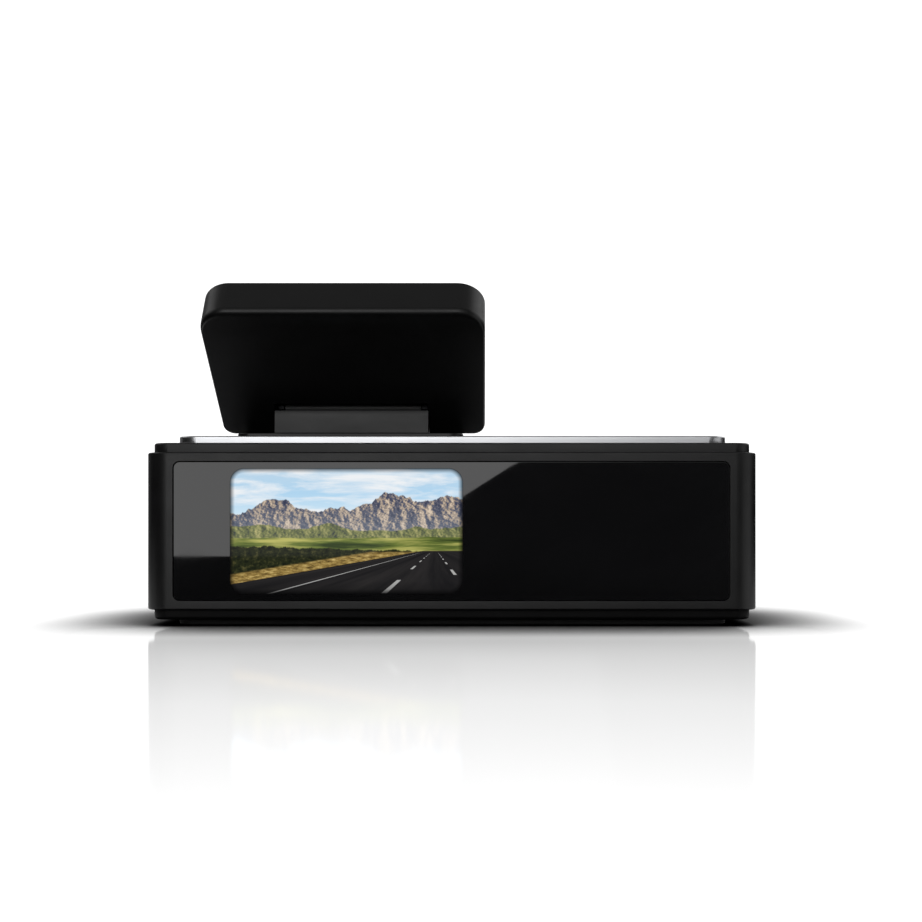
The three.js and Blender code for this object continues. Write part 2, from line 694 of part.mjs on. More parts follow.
function buttonSwitch(side) {
  const body = blockBetween(
    [SWITCH_BACK, BUTTON_Y - 2.25, BAND_MIDDLE - 2.25],
    [SWITCH_FACE - 0.5, BUTTON_Y + 2.25, BAND_MIDDLE + 2.25],
  );
  const stem = rod('x', 1.1, SWITCH_FACE - 0.8, SWITCH_FACE, 0, BUTTON_Y, BAND_MIDDLE, 12);
  return onSide(carved([body, stem]), side);
}

/** The small board behind a button. The right one also carries the status light. */
function buttonBoard(side) {
  const reach = side > 0 ? LIGHT_Y - BUTTON_Y + 0.9 : SWITCH_BOARD_REACH;
  return onSide(blockBetween(
    [SWITCH_BOARD_BACK, BUTTON_Y - SWITCH_BOARD_REACH, BAND_MIDDLE - 4.5],
    [SWITCH_BACK - HAIR_GAP, BUTTON_Y + reach, BAND_MIDDLE + 4.5],
  ), side);
}

for (const [name, side] of [['power', 1], ['record', -1]]) {
  addPart(`${name}_button`, button(side), 'blackPlastic');
  addPart(`${name}_switch`, buttonSwitch(side), 'steel');
  addPart(`${name}_switch_board`, buttonBoard(side), 'board');
}
addPart('status_light', block(SWITCH_BACK + 0.4, LIGHT_Y, BAND_MIDDLE, 0.8, 1.2, 1.8), 'lightPipe');
addPart(
  'status_light_pipe',
  rod('x', 0.8, SWITCH_BACK + 1, BUTTON_FACE, 0, LIGHT_Y, BAND_MIDDLE, 12),
  'lightPipe',
);

// ---------------------------------------------------------------- lens and image sensor

const SENSOR_BOARD_BACK = -1.5;
const SENSOR_BOARD_SIZE = 18;
const SENSOR_BOARD_THICKNESS = 1;
const HOLDER_FRONT = SENSOR_BOARD_BACK + HAIR_GAP;
const HOLDER_SIZE = 15;
const HOLDER_BASE_BACK = 0.8;
const HOLDER_TUBE_BACK = 9;
const HOLDER_SEAT = 2.4;
const HOLDER_WINDOW = 8;
const BARREL_RADIUS = 6;
const BARREL_FRONT = 3;
const BARREL_BACK = 16.4;
const LENS_SEAT = 14.4;
const LENS_RADIUS = 4.9;
const LENS_CROWN = 1.2;
const BEZEL_NECK_RADIUS = 8.2;
const BEZEL_MOUTH_RADIUS = 8.6;
const BEZEL_THROAT_RADIUS = 6.4;
const BEZEL_BACK = BACK + HAIR_GAP + BEZEL_LENGTH;

function lensHolder() {
  const base = block(
    LENS_X, (HOLDER_FRONT + HOLDER_BASE_BACK) / 2, BAND_MIDDLE,
    HOLDER_SIZE, HOLDER_BASE_BACK - HOLDER_FRONT, HOLDER_SIZE,
  );
  const tube = rod(
    'y', BARREL_RADIUS + 1.4, HOLDER_FRONT + 0.5, HOLDER_TUBE_BACK, LENS_X, 0, BAND_MIDDLE, 24,
  );
  const bore = rod(
    'y', BARREL_RADIUS + FIT_GAP, HOLDER_SEAT, HOLDER_TUBE_BACK + 1, LENS_X, 0, BAND_MIDDLE, 24,
  );
  const opening = block(
    LENS_X, HOLDER_FRONT + 2, BAND_MIDDLE, HOLDER_WINDOW, 6, HOLDER_WINDOW,
  );
  return carved([base, tube], [bore, opening]);
}

const barrelProfile = closedProfile([
  [3.2, BARREL_FRONT],
  [BARREL_RADIUS, BARREL_FRONT],
  [BARREL_RADIUS, BARREL_BACK],
  [LENS_RADIUS + FIT_GAP, BARREL_BACK],
  [LENS_RADIUS + FIT_GAP, LENS_SEAT],
  [3.2, LENS_SEAT],
]);

const bezelProfile = closedProfile([
  [BEZEL_THROAT_RADIUS, INNER_BACK + 0.3],
  [BEZEL_NECK_RADIUS, INNER_BACK + 0.3],
  [BEZEL_NECK_RADIUS, BACK + HAIR_GAP],
  [BEZEL_RADIUS, BACK + HAIR_GAP],
  [BEZEL_RADIUS, BEZEL_BACK - 0.5],
  [BEZEL_RADIUS - 0.5, BEZEL_BACK],
  [BEZEL_MOUTH_RADIUS, BEZEL_BACK],
  [BEZEL_THROAT_RADIUS, BACK],
]);

const trimRingProfile = closedProfile([
  [BEZEL_MOUTH_RADIUS + 0.1, BEZEL_BACK + HAIR_GAP],
  [BEZEL_RADIUS - 0.6, BEZEL_BACK + HAIR_GAP],
  [BEZEL_RADIUS - 0.6, BEZEL_BACK + 0.4],
  [BEZEL_MOUTH_RADIUS + 0.1, BEZEL_BACK + 0.4],
]);

/** A domed lens: flat at the front end, crowned at the far end. */
function lensProfile(radius, flatY, edgeY, crown) {
  const steps = 5;
  const dome = Array.from({ length: steps + 1 }, (_, index) => {
    const share = index / steps;
    return [radius * Math.cos(share * Math.PI / 2), edgeY + crown * Math.sin(share * Math.PI / 2)];
  });
  dome[steps][0] = 0;
  return [[0, flatY], [radius, flatY], ...dome];
}

addPart(
  'sensor_board',
  block(
    LENS_X, SENSOR_BOARD_BACK - SENSOR_BOARD_THICKNESS / 2, BAND_MIDDLE,
    SENSOR_BOARD_SIZE, SENSOR_BOARD_THICKNESS, SENSOR_BOARD_SIZE,
  ),
  'board',
);
addPart('image_sensor', block(LENS_X, HOLDER_FRONT + 0.5, BAND_MIDDLE, 7.4, 0.9, 6.2), 'chip');
addPart('lens_holder', lensHolder(), 'blackPlastic');
addPart('lens_barrel', turnedLens(barrelProfile, 24), 'blackPlastic');
addPart('rear_lens', turnedLens(lensProfile(2.9, 4, 4.8, 0.8), 16), 'lensGlass');
addPart(
  'front_lens',
  turnedLens(lensProfile(LENS_RADIUS, LENS_SEAT + HAIR_GAP, LENS_SEAT + 1.2, LENS_CROWN), 24),
  'lensGlass',
);
addPart('lens_bezel', turnedLens(bezelProfile), 'satinBlack');
addPart('lens_trim_ring', turnedLens(trimRingProfile), 'polishedMetal');
addPart(
  'sensor_ribbon',
  ribbon([[8, BOARD_BACK + 0.3], [8.6, -7], [10.6, -5.6], [12.8, -4.4], [13.4, -2.9]], 0.2, 7),
  'ribbon',
);

// ---------------------------------------------------------------- mount foot

function mountFoot() {
  const flange = raised(
    roundedRectangle(FOOT_WIDTH, FOOT_BACK - FOOT_FRONT, 2, MOUNT_X, (FOOT_BACK + FOOT_FRONT) / 2),
    FOOT_BOTTOM, FOOT_TOP,
  );
  const neck = blockBetween(
    [MOUNT_X - RAIL_NECK_WIDTH / 2, RAIL_FRONT, BAND_TOP + 0.5],
    [MOUNT_X + RAIL_NECK_WIDTH / 2, RAIL_BACK, FOOT_BOTTOM + 0.2],
  );
  const rail = blockBetween(
    [MOUNT_X - RAIL_WIDTH / 2, RAIL_FRONT, BAND_TOP + 0.25],
    [MOUNT_X + RAIL_WIDTH / 2, RAIL_BACK, BAND_TOP + 0.25 + RAIL_HEIGHT],
  );
  const blockTop = FOOT_TOP + BLOCK_HEIGHT;
  const side = new THREE.Shape([
    new THREE.Vector2(BLOCK_FRONT, FOOT_TOP - 0.3),
    new THREE.Vector2(BLOCK_BACK, FOOT_TOP - 0.3),
    new THREE.Vector2(BLOCK_BACK, HINGE_Z - 1),
    new THREE.Vector2(HINGE_Y, HINGE_Z - 1),
    new THREE.Vector2(BLOCK_FRONT + BLOCK_BEVEL_DEPTH, blockTop),
    new THREE.Vector2(BLOCK_FRONT, blockTop - BLOCK_BEVEL_HEIGHT),
  ]);
  const hingeBlock = facingSide(side, MOUNT_X - BLOCK_WIDTH / 2, MOUNT_X + BLOCK_WIDTH / 2);
  const knuckle = rod(
    'x', KNUCKLE_RADIUS, MOUNT_X - KNUCKLE_WIDTH / 2, MOUNT_X + KNUCKLE_WIDTH / 2,
    0, HINGE_Y, HINGE_Z, 24,
  );
  const bore = rod(
    'x', PIN_RADIUS + 0.25, MOUNT_X - BLOCK_WIDTH, MOUNT_X + BLOCK_WIDTH, 0, HINGE_Y, HINGE_Z, 20,
  );
  const washerSeats = [-1, 1].map((end) => {
    const inner = MOUNT_X + end * KNUCKLE_WIDTH / 2;
    const outer = MOUNT_X + end * (BLOCK_WIDTH / 2 + 1);
    return rod(
      'x', KNUCKLE_RADIUS + FIT_GAP, Math.min(inner, outer), Math.max(inner, outer),
      0, HINGE_Y, HINGE_Z, 24,
    );
  });
  return carved([flange, neck, rail, hingeBlock, knuckle], [bore, ...washerSeats]);
}

addPart('mount_foot', mountFoot(), 'satinBlack');

// ---------------------------------------------------------------- mount plate, hinged and leaning

// The plate is built upright with its hinge axis at its group's origin, and the group is leaned.
const mountPlate = new THREE.Group();
mountPlate.position.set(MOUNT_X, HINGE_Y, HINGE_Z);
mountPlate.rotation.x = PLATE_LEAN;
camera.add(mountPlate);

const PLATE_FRONT = -PLATE_BEFORE_HINGE;
const PLATE_BACK = PLATE_FRONT + PLATE_THICKNESS;
const PLATE_BOTTOM = -PLATE_BELOW_HINGE;
const PLATE_MIDDLE = PLATE_BOTTOM + PLATE_HEIGHT / 2;
const RECESS_DEPTH = 1.4;
const RECESS_MARGIN = 1.8;
const COVER_THICKNESS = 0.8;
const ADHESIVE_THICKNESS = 0.8;
const NOTCH_TOP = 4;
const TURNED_GAP = 0.3;
const LEAST_RADIUS = 0.5;

/** The plate's outline, drawn in by a margin. Its upper corners are rounder than its lower ones. */
function plateOutline(margin) {
  return roundedRectangle(
    PLATE_WIDTH - 2 * margin, PLATE_HEIGHT - 2 * margin, PLATE_RADIUS - margin,
    0, PLATE_MIDDLE, Math.max(PLATE_LOW_RADIUS - margin, LEAST_RADIUS),
  );
}

function plateShell() {
  const bevelled = new THREE.ExtrudeGeometry(plateOutline(PLATE_CHAMFER), {
    depth: PLATE_THICKNESS,
    bevelEnabled: true,
    bevelThickness: PLATE_CHAMFER,
    bevelSize: PLATE_CHAMFER,
    bevelSegments: 2,
    curveSegments: 6,
  }).rotateX(Math.PI / 2).translate(0, PLATE_BACK, 0);
  const beyondBack = block(0, PLATE_BACK + 5, PLATE_MIDDLE, 60, 10, 60);
  const recess = facingFront(plateOutline(RECESS_MARGIN), PLATE_BACK - RECESS_DEPTH, PLATE_BACK + 2, 4);
  const pinGroove = block(
    0, (PLATE_BACK - PIN_RADIUS - FIT_GAP) / 2, 0,
    PIN_LENGTH + 2 * FIT_GAP, PLATE_BACK + PIN_RADIUS + FIT_GAP, 2 * (PIN_RADIUS + FIT_GAP),
  );
  const notch = blockBetween(
    [-BLOCK_WIDTH / 2 - FIT_GAP, PLATE_FRONT - 1, PLATE_BOTTOM - 1],
    [BLOCK_WIDTH / 2 + FIT_GAP, PLATE_BACK + 1, NOTCH_TOP],
  );
  return carved([bevelled], [beyondBack, recess, pinGroove, notch]);
}

function plateCover() {
  const margin = RECESS_MARGIN + TURNED_GAP;
  const front = PLATE_BACK - RECESS_DEPTH + TURNED_GAP;
  return facingFront(plateOutline(margin), front, front + COVER_THICKNESS, 4);
}

function adhesivePad() {
  const margin = RECESS_MARGIN + TURNED_GAP;
  const front = PLATE_BACK - RECESS_DEPTH + COVER_THICKNESS + 2 * TURNED_GAP;
  return facingFront(plateOutline(margin), front, front + ADHESIVE_THICKNESS, 4);
}

/** A friction washer, on the pin between the knuckle and one ear of the plate. */
function frictionWasher(end) {
  const inner = end * (KNUCKLE_WIDTH / 2 + 0.2);
  const outer = end * (BLOCK_WIDTH / 2 - 0.1);
  const from = Math.min(inner, outer);
  const to = Math.max(inner, outer);
  return carved([rod('x', KNUCKLE_RADIUS, from, to, 0, 0, 0, 24)], [
    rod('x', PIN_RADIUS + 0.25, from - 1, to + 1, 0, 0, 0, 20),
  ]);
}

addPart('mount_plate', plateShell(), 'satinBlack', mountPlate);
addPart('mount_plate_cover', plateCover(), 'blackPlastic', mountPlate);
addPart('adhesive_pad', adhesivePad(), 'adhesive', mountPlate);
addPart(
  'hinge_pin', rod('x', PIN_RADIUS, -PIN_LENGTH / 2, PIN_LENGTH / 2, 0, 0, 0, 20), 'steel', mountPlate,
);
addPart('friction_washer_1', frictionWasher(-1), 'steel', mountPlate);
addPart('friction_washer_2', frictionWasher(1), 'steel', mountPlate);

export default camera;
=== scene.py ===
"""Looks of the windscreen dash camera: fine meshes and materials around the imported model."""
import json
import math

import bmesh
import bpy
from mathutils import Matrix, Vector


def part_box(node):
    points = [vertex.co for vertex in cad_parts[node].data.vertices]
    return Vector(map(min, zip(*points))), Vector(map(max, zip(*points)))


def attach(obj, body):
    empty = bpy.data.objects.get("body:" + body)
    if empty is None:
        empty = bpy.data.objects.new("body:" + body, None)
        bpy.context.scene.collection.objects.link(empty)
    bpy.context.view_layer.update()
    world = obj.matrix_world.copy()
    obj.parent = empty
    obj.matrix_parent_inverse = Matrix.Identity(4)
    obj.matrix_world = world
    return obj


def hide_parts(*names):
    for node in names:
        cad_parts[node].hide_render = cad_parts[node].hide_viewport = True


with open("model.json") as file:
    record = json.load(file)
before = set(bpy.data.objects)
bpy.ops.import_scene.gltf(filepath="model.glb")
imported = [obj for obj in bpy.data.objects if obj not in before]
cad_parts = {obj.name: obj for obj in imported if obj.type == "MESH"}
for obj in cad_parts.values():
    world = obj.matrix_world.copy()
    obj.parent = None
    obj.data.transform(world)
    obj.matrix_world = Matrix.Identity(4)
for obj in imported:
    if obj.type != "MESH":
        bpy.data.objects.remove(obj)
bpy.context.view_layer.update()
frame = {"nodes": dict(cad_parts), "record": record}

MM = 0.001
HAIR = 1e-5      # kept off a fully rounded end, so that no side of its outline has zero length
SPECK = 1e-7     # stands for zero where a turned outline meets its axis


# ---------------- places taken from the frame

def joint(name):
    """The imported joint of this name."""
    for entry in frame["record"]["behaviour"]["joints"]:
        if entry["name"] == name:
            return entry
    raise KeyError(name)


def span(node):
    """Lowest corner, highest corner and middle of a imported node."""
    low, high = (Vector(corner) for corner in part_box(node))
    return low, high, (low + high) / 2


HOUSING_LOW, HOUSING_HIGH, HOUSING_MID = span("main_housing")
GLASS_LOW, GLASS_HIGH, GLASS_MID = span("glass_panel")
DISPLAY_MID = span("display_module")[2]
HINGE = Vector(joint("plate_tilt")["pos_m"])
PAD_NORMAL = Vector(next(
    mount["axis"] for mount in frame["record"]["mounts"] if mount["name"] == "adhesive_face"))
LEAN = math.atan2(PAD_NORMAL.z, PAD_NORMAL.y)
PLATE_FRAME = Matrix.Translation(HINGE) @ Matrix.Rotation(LEAN, 4, "X")


# ---------------- camera

IMAGE_SIDE = 922
FOCAL_LENGTH_SIDES = 1300 / IMAGE_SIDE
CAMERA_SHIFT = (-0.0228, 0.0694)
CAMERA_DISTANCE = 180.6 * MM     # from the front of the body
CAMERA_X = 4.25 * MM
CAMERA_Z = 14.15 * MM


def add_camera():
    """A level camera in front of the display, a little to the right of the middle."""
    data = bpy.data.cameras.new("camera")
    data.sensor_width = 36
    data.lens = data.sensor_width * FOCAL_LENGTH_SIDES
    data.shift_x, data.shift_y = CAMERA_SHIFT
    data.clip_start = 0.01
    data.clip_end = 20
    camera = bpy.data.objects.new("camera", data)
    camera.location = (CAMERA_X, HOUSING_LOW.y - CAMERA_DISTANCE, CAMERA_Z)
    camera.rotation_euler = (math.radians(90), 0, 0)
    bpy.context.scene.collection.objects.link(camera)
    bpy.context.scene.camera = camera


add_camera()


# ---------------- mesh helpers

def arc_outline(width, height, radius, steps=14, centre=(0.0, 0.0), low_radius=None):
    """Points round a rectangle with rounded corners, anticlockwise."""
    points = []
    for quarter in range(4):
        sign_x = 1 if quarter in (0, 3) else -1
        sign_y = 1 if quarter in (0, 1) else -1
        turn = radius if low_radius is None or sign_y > 0 else low_radius
        middle_x = centre[0] + sign_x * (width / 2 - turn)
        middle_y = centre[1] + sign_y * (height / 2 - turn)
        for step in range(steps + 1):
            angle = math.pi / 2 * (quarter + step / steps)
            points.append((middle_x + turn * math.cos(angle), middle_y + turn * math.sin(angle)))
    return points


def loft(rings, ends=True):
    """A mesh through rings of equal length. Its ends are closed unless told otherwise."""
    mesh = bmesh.new()
    made = [[mesh.verts.new(point) for point in ring] for ring in rings]
    for lower, upper in zip(made, made[1:]):
        for index in range(len(lower)):
            following = (index + 1) % len(lower)
            mesh.faces.new((lower[index], lower[following], upper[following], upper[index]))
    if ends:
        mesh.faces.new(list(reversed(made[0])))
        mesh.faces.new(made[-1])
    bmesh.ops.recalc_face_normals(mesh, faces=mesh.faces)
    return mesh


def fillet_levels(low, high, low_radius, high_radius, steps=4):
    """Pairs of (level, inset) that round both ends of an extrusion."""
    angles = [math.pi / 2 * step / steps for step in range(steps + 1)]
    levels = [(low, 0.0)]
    if low_radius > 0:
        levels = [(low + low_radius * (1 - math.cos(a)), low_radius * (1 - math.sin(a))) for a in angles]
    if high_radius > 0:
        levels += [
            (high - high_radius * (1 - math.sin(a)), high_radius * (1 - math.cos(a))) for a in angles
        ]
    else:
        levels.append((high, 0.0))
    return levels


def slab(width, height, radius, low, high, low_fillet=0.0, high_fillet=0.0, centre=(0.0, 0.0),
         steps=14, edge_steps=4):
    """A rounded rectangle in X and Y, raised along Z, with rounded rims."""
    rings = []
    for level, inset in fillet_levels(low, high, low_fillet, high_fillet, edge_steps):
        turn = max(radius - inset, radius * 0.2)
        outline = arc_outline(width - 2 * inset, height - 2 * inset, turn, steps, centre)
        rings.append([(x, y, level) for x, y in outline])
    return loft(rings)


def turned(profile, steps=96, closed=True):
    """A body turned round the Y axis from (radius, y) points."""
    rings = []
    for radius, y in profile:
        radius = max(radius, SPECK)
        rings.append([
            (radius * math.cos(2 * math.pi * s / steps), y, radius * math.sin(2 * math.pi * s / steps))
            for s in range(steps)
        ])
    if closed:
        rings.append(rings[0])
    mesh = loft(rings, ends=not closed)
    bmesh.ops.remove_doubles(mesh, verts=mesh.verts, dist=SPECK)
    bmesh.ops.recalc_face_normals(mesh, faces=mesh.faces)
    return mesh


def moved(mesh, matrix):
    """The mesh carried by a matrix."""
    bmesh.ops.transform(mesh, matrix=matrix, verts=mesh.verts)
    bmesh.ops.recalc_face_normals(mesh, faces=mesh.faces)
    return mesh


FRONT_FACING = Matrix(((1, 0, 0, 0), (0, 0, 1, 0), (0, 1, 0, 0), (0, 0, 0, 1)))
SIDE_FACING = Matrix(((0, 0, 1, 0), (1, 0, 0, 0), (0, 1, 0, 0), (0, 0, 0, 1)))


def box_mesh(low, high):
    """A plain box, used for cutting."""
    mesh = bmesh.new()
    bmesh.ops.create_cube(mesh, size=1)
    size = Vector(high) - Vector(low)
    middle = (Vector(high) + Vector(low)) / 2
    return moved(mesh, Matrix.Translation(middle) @ Matrix.Diagonal((*size, 1)))


def as_object(name, mesh):
    """Turns a bmesh into a linked object."""
    data = bpy.data.meshes.new(name)
    mesh.to_mesh(data)
    mesh.free()
    made = bpy.data.objects.new(name, data)
    bpy.context.scene.collection.objects.link(made)
    return made


def settle(made):
    """Applies an object's modifiers to its mesh."""
    graph = bpy.context.evaluated_depsgraph_get()
    graph.update()
    data = bpy.data.meshes.new_from_object(made.evaluated_get(graph))
    old = made.data
    made.modifiers.clear()
    made.data = data
    bpy.data.meshes.remove(old)
    return made


def cut(made, meshes, operation="DIFFERENCE"):
    """Cuts meshes out of an object, or joins them to it."""
    tools = []
    for index, mesh in enumerate(meshes):
        tool = as_object(f"tool_{index}", mesh)
        modifier = made.modifiers.new("cut", "BOOLEAN")
        modifier.operation = operation
        modifier.solver = "EXACT"
        modifier.object = tool
        tools.append(tool)
    settle(made)
    for tool in tools:
        data = tool.data
        bpy.data.objects.remove(tool)
        bpy.data.meshes.remove(data)
    return made


def soften(made, width, angle=35, segments=2):
    """Rounds the sharp edges of an object."""
    modifier = made.modifiers.new("edges", "BEVEL")
    modifier.width = width
    modifier.segments = segments
    modifier.limit_method = "ANGLE"
    modifier.angle_limit = math.radians(angle)
    return settle(made)


LEAST_EDGE = 0.001 * MM      # shorter edges are slivers left by a cut


def shade(made, angle=32):
    """Clears slivers, then gives smooth shading, broken where faces meet at more than an angle."""
    mesh = bmesh.new()
    mesh.from_mesh(made.data)
    bmesh.ops.dissolve_degenerate(mesh, dist=LEAST_EDGE, edges=mesh.edges[:])
    for face in mesh.faces:
        face.smooth = True
    for edge in mesh.edges:
        sharp = len(edge.link_faces) == 2 and edge.calc_face_angle(0) > math.radians(angle)
        edge.smooth = not sharp
    mesh.to_mesh(made.data)
    mesh.free()
    modifier = made.modifiers.new("even_normals", "WEIGHTED_NORMAL")
    modifier.keep_sharp = True
    modifier.weight = 60
    return settle(made)


def finish_piece(made, body, material, replaced=()):
    """Gives a piece its material and its body, and hides the imported nodes that it stands for."""
    made.data.materials.clear()
    made.data.materials.append(material)
    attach(made, body)
    if replaced:
        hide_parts(*replaced)
    return made


def complete(made, material, node=None, body="camera_body", edge=0.0, edge_angle=35,
             smooth_angle=32):
    """Rounds, shades and finishes a piece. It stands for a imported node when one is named."""
    if edge:
        soften(made, edge, edge_angle)
    shade(made, smooth_angle)
    return finish_piece(made, body, material, [node] if node else ())


# ---------------- material helpers

class Graph:
    """A short way to write a material's nodes."""

    def __init__(self, name):
        self.material = bpy.data.materials.new(name)
        self.material.use_nodes = True
        self.tree = self.material.node_tree
        self.shader = self.tree.nodes["Principled BSDF"]
        self.place = self.add("ShaderNodeTexCoord").outputs["Object"]

    def add(self, kind, **sockets):
        """Adds a node and sets its inputs, by value or by link."""
        node = self.tree.nodes.new(kind)
        for label, value in sockets.items():
            self.put(node.inputs[label.replace("_", " ")], value)
        return node

    def put(self, socket, value):
        """Links or sets one input."""
        if isinstance(value, bpy.types.NodeSocket):
            self.tree.links.new(value, socket)
        else:
            socket.default_value = value

    def math(self, operation, first, second=0.5, third=0.5, clamp=False):
        """One arithmetic step."""
        node = self.tree.nodes.new("ShaderNodeMath")
        node.operation = operation
        node.use_clamp = clamp
        for socket, value in zip(node.inputs, (first, second, third)):
            self.put(socket, value)
        return node.outputs[0]

    def noise(self, scale, detail=3.0, roughness=0.5, place=None, distortion=0.0):
        """A noise value."""
        return self.add(
            "ShaderNodeTexNoise", Vector=self.place if place is None else place,
            Scale=scale, Detail=detail, Roughness=roughness, Distortion=distortion,
        ).outputs["Fac"]

    def cells(self, scale):
        """The distance to the middle of the nearest of many small cells."""
        return self.add("ShaderNodeTexVoronoi", Vector=self.place, Scale=scale).outputs["Distance"]

    def stretched(self, x, y, z):
        """The place, scaled along each axis."""
        return self.add("ShaderNodeMapping", Vector=self.place, Scale=(x, y, z)).outputs[0]

    def remap(self, value, low, high, to_low, to_high):
        """A value carried from one range to another and held inside it."""
        return self.add("ShaderNodeMapRange", Value=value, From_Min=low, From_Max=high,
                        To_Min=to_low, To_Max=to_high).outputs[0]

    def ramp(self, value, stops):
        """A colour ramp from (position, colour) stops."""
        node = self.add("ShaderNodeValToRGB")
        self.put(node.inputs[0], value)
        ramp = node.color_ramp
        while len(ramp.elements) < len(stops):
            ramp.elements.new(0.5)
        for element, (position, colour) in zip(ramp.elements, stops):
            element.position = position
            element.color = (*colour, 1)
        return node.outputs[0]

    def mix(self, share, first, second):
        """Two colours mixed."""
        node = self.tree.nodes.new("ShaderNodeMix")
        node.data_type = "RGBA"
        self.put(node.inputs["Factor"], share)
        for label, value in (("A", first), ("B", second)):
            socket = next(s for s in node.inputs if s.name == label and s.type == "RGBA")
            self.put(socket, (*value, 1) if isinstance(value, tuple) else value)
        return next(s for s in node.outputs if s.type == "RGBA")

    def bump(self, height, strength, distance):
        """Gives the shader a bump from a height value."""
        node = self.add("ShaderNodeBump", Strength=strength, Distance=distance, Height=height)
        self.put(self.shader.inputs["Normal"], node.outputs[0])

    def set(self, **sockets):
        """Sets the shader's own inputs."""
        for label, value in sockets.items():
            if isinstance(value, tuple) and len(value) == 3:
                value = (*value, 1)
            self.put(self.shader.inputs[label.replace("_", " ")], value)


def moulded_plastic(name, dark, light, smoothness=(0.34, 0.44), grain=0.12, level=0.5):
    """Satin black plastic with a fine moulded grain, faint handling marks and paler edges."""
    g = Graph(name)
    cloud = g.noise(160, 5, 0.6)
    speck = g.noise(14000, 2, 0.5)
    base = g.ramp(cloud, [(0.3, dark), (0.72, light)])
    edge = g.add("ShaderNodeNewGeometry").outputs["Pointiness"]
    worn = g.remap(edge, 0.53, 0.62, 0.0, 0.22)
    lighter = tuple(min(1.0, value * 2.4 + 0.01) for value in light)
    g.set(Base_Color=g.mix(worn, base, lighter), IOR=1.5, Specular_IOR_Level=level)
    smear = g.noise(70, 4, 0.65, g.stretched(1, 1, 2.2), 0.6)
    rough = g.remap(smear, 0.3, 0.7, smoothness[0], smoothness[1])
    g.set(Roughness=g.math("ADD", rough, g.remap(speck, 0.3, 0.7, -0.02, 0.02)))
    g.bump(g.noise(9000, 2, 0.5), grain, 0.00002)
    return g.material


# ---------------- stage and light

CONTACT_SHADOW_REACH = 0.018               # how far from the object the painted contact shadow on the floor reaches
# how dark the painted contact shadow gets
CONTACT_SHADOW_DEPTH = 4.0
FLOOR_IOR = 1.11
MIRROR_SHARE = 0.71                 # the floor mirrors the object in a zone in front of it only
MIRROR_START, MIRROR_FULL = -0.018, -0.042
MIRROR_FADE, MIRROR_END = -0.14, -0.26
MIRROR_HALF, MIRROR_SIDE = 0.043, 0.05
SURROUND = 1.27
CARD_DISTANCE = 0.8


def add_stage():
    """A wide pale floor with a painted contact shadow where the object stands on it, and a white surround."""
    floor = as_object("floor", slab(6, 6, 2.5, -0.01, 0, steps=24))
    g = Graph("floor_paper")
    paper = g.ramp(g.noise(3, 3), [(0.3, (0.93, 0.93, 0.93)), (0.7, (0.95, 0.95, 0.95))])
    # Painted contact shadow: ambient occlusion near the object darkens the paper's colour towards black.
    contact = g.add("ShaderNodeAmbientOcclusion", Distance=CONTACT_SHADOW_REACH)
    contact.samples = 24
    unshadowed_share = g.math("POWER", contact.outputs["AO"], CONTACT_SHADOW_DEPTH)
    parts = g.add("ShaderNodeSeparateXYZ", Vector=g.place)
    in_front = g.remap(parts.outputs["Y"], MIRROR_FULL, MIRROR_START, MIRROR_SHARE, 0.0)
    near = g.remap(parts.outputs["Y"], MIRROR_END, MIRROR_FADE, 0.0, 1.0)
    beside = g.remap(g.math("ABSOLUTE", parts.outputs["X"]), MIRROR_HALF, MIRROR_SIDE, 1.0, 0.0)
    gloss = g.math("MULTIPLY", g.math("POWER", in_front, 2.0), g.math("MULTIPLY", near, beside))
    g.set(Base_Color=g.mix(unshadowed_share, (0.0, 0.0, 0.0), paper), Roughness=0.07, IOR=FLOOR_IOR)
    g.set(Specular_IOR_Level=gloss)
    floor.data.materials.append(g.material)
    floor.visible_glossy = False
    world = bpy.data.worlds.new("surround")
    world.use_nodes = True
    world.node_tree.nodes["Background"].inputs["Color"].default_value = (1, 1, 1, 1)
    world.node_tree.nodes["Background"].inputs["Strength"].default_value = SURROUND
    world.cycles_visibility.glossy = False
    bpy.context.scene.world = world


def glow_card(name, corners_of_card, strength):
    """A flat lit card that only shows in reflections."""
    mesh = bmesh.new()
    mesh.faces.new([mesh.verts.new(point) for point in corners_of_card])
    card = as_object(name, mesh)
    g = Graph(name)
    g.set(Base_Color=(0, 0, 0), Emission_Color=(1, 1, 1))
    g.set(Emission_Strength=strength, Specular_IOR_Level=0.0)
    card.data.materials.append(g.material)
    card.visible_camera = False
    card.visible_shadow = False
    card.visible_diffuse = False


def in_glass(x, z):
    """Where a card point has to be to show in the glass at this place."""
    camera = bpy.context.scene.camera.location
    glass = GLASS_LOW.y
    share = (CARD_DISTANCE + glass + (glass - camera.y)) / (glass - camera.y)
    return Vector((camera.x + (x - camera.x) * share, -CARD_DISTANCE, camera.z + (z - camera.z) * share))


def upright(a, b, low, high):
    """An upright card above the line between two floor points."""
    return [(*a, low), (*b, low), (*b, high), (*a, high)]


def level_card(low, high, level):
    """A level card between two floor points."""
    return [(low[0], low[1], level), (high[0], low[1], level),
            (high[0], high[1], level), (low[0], high[1], level)]


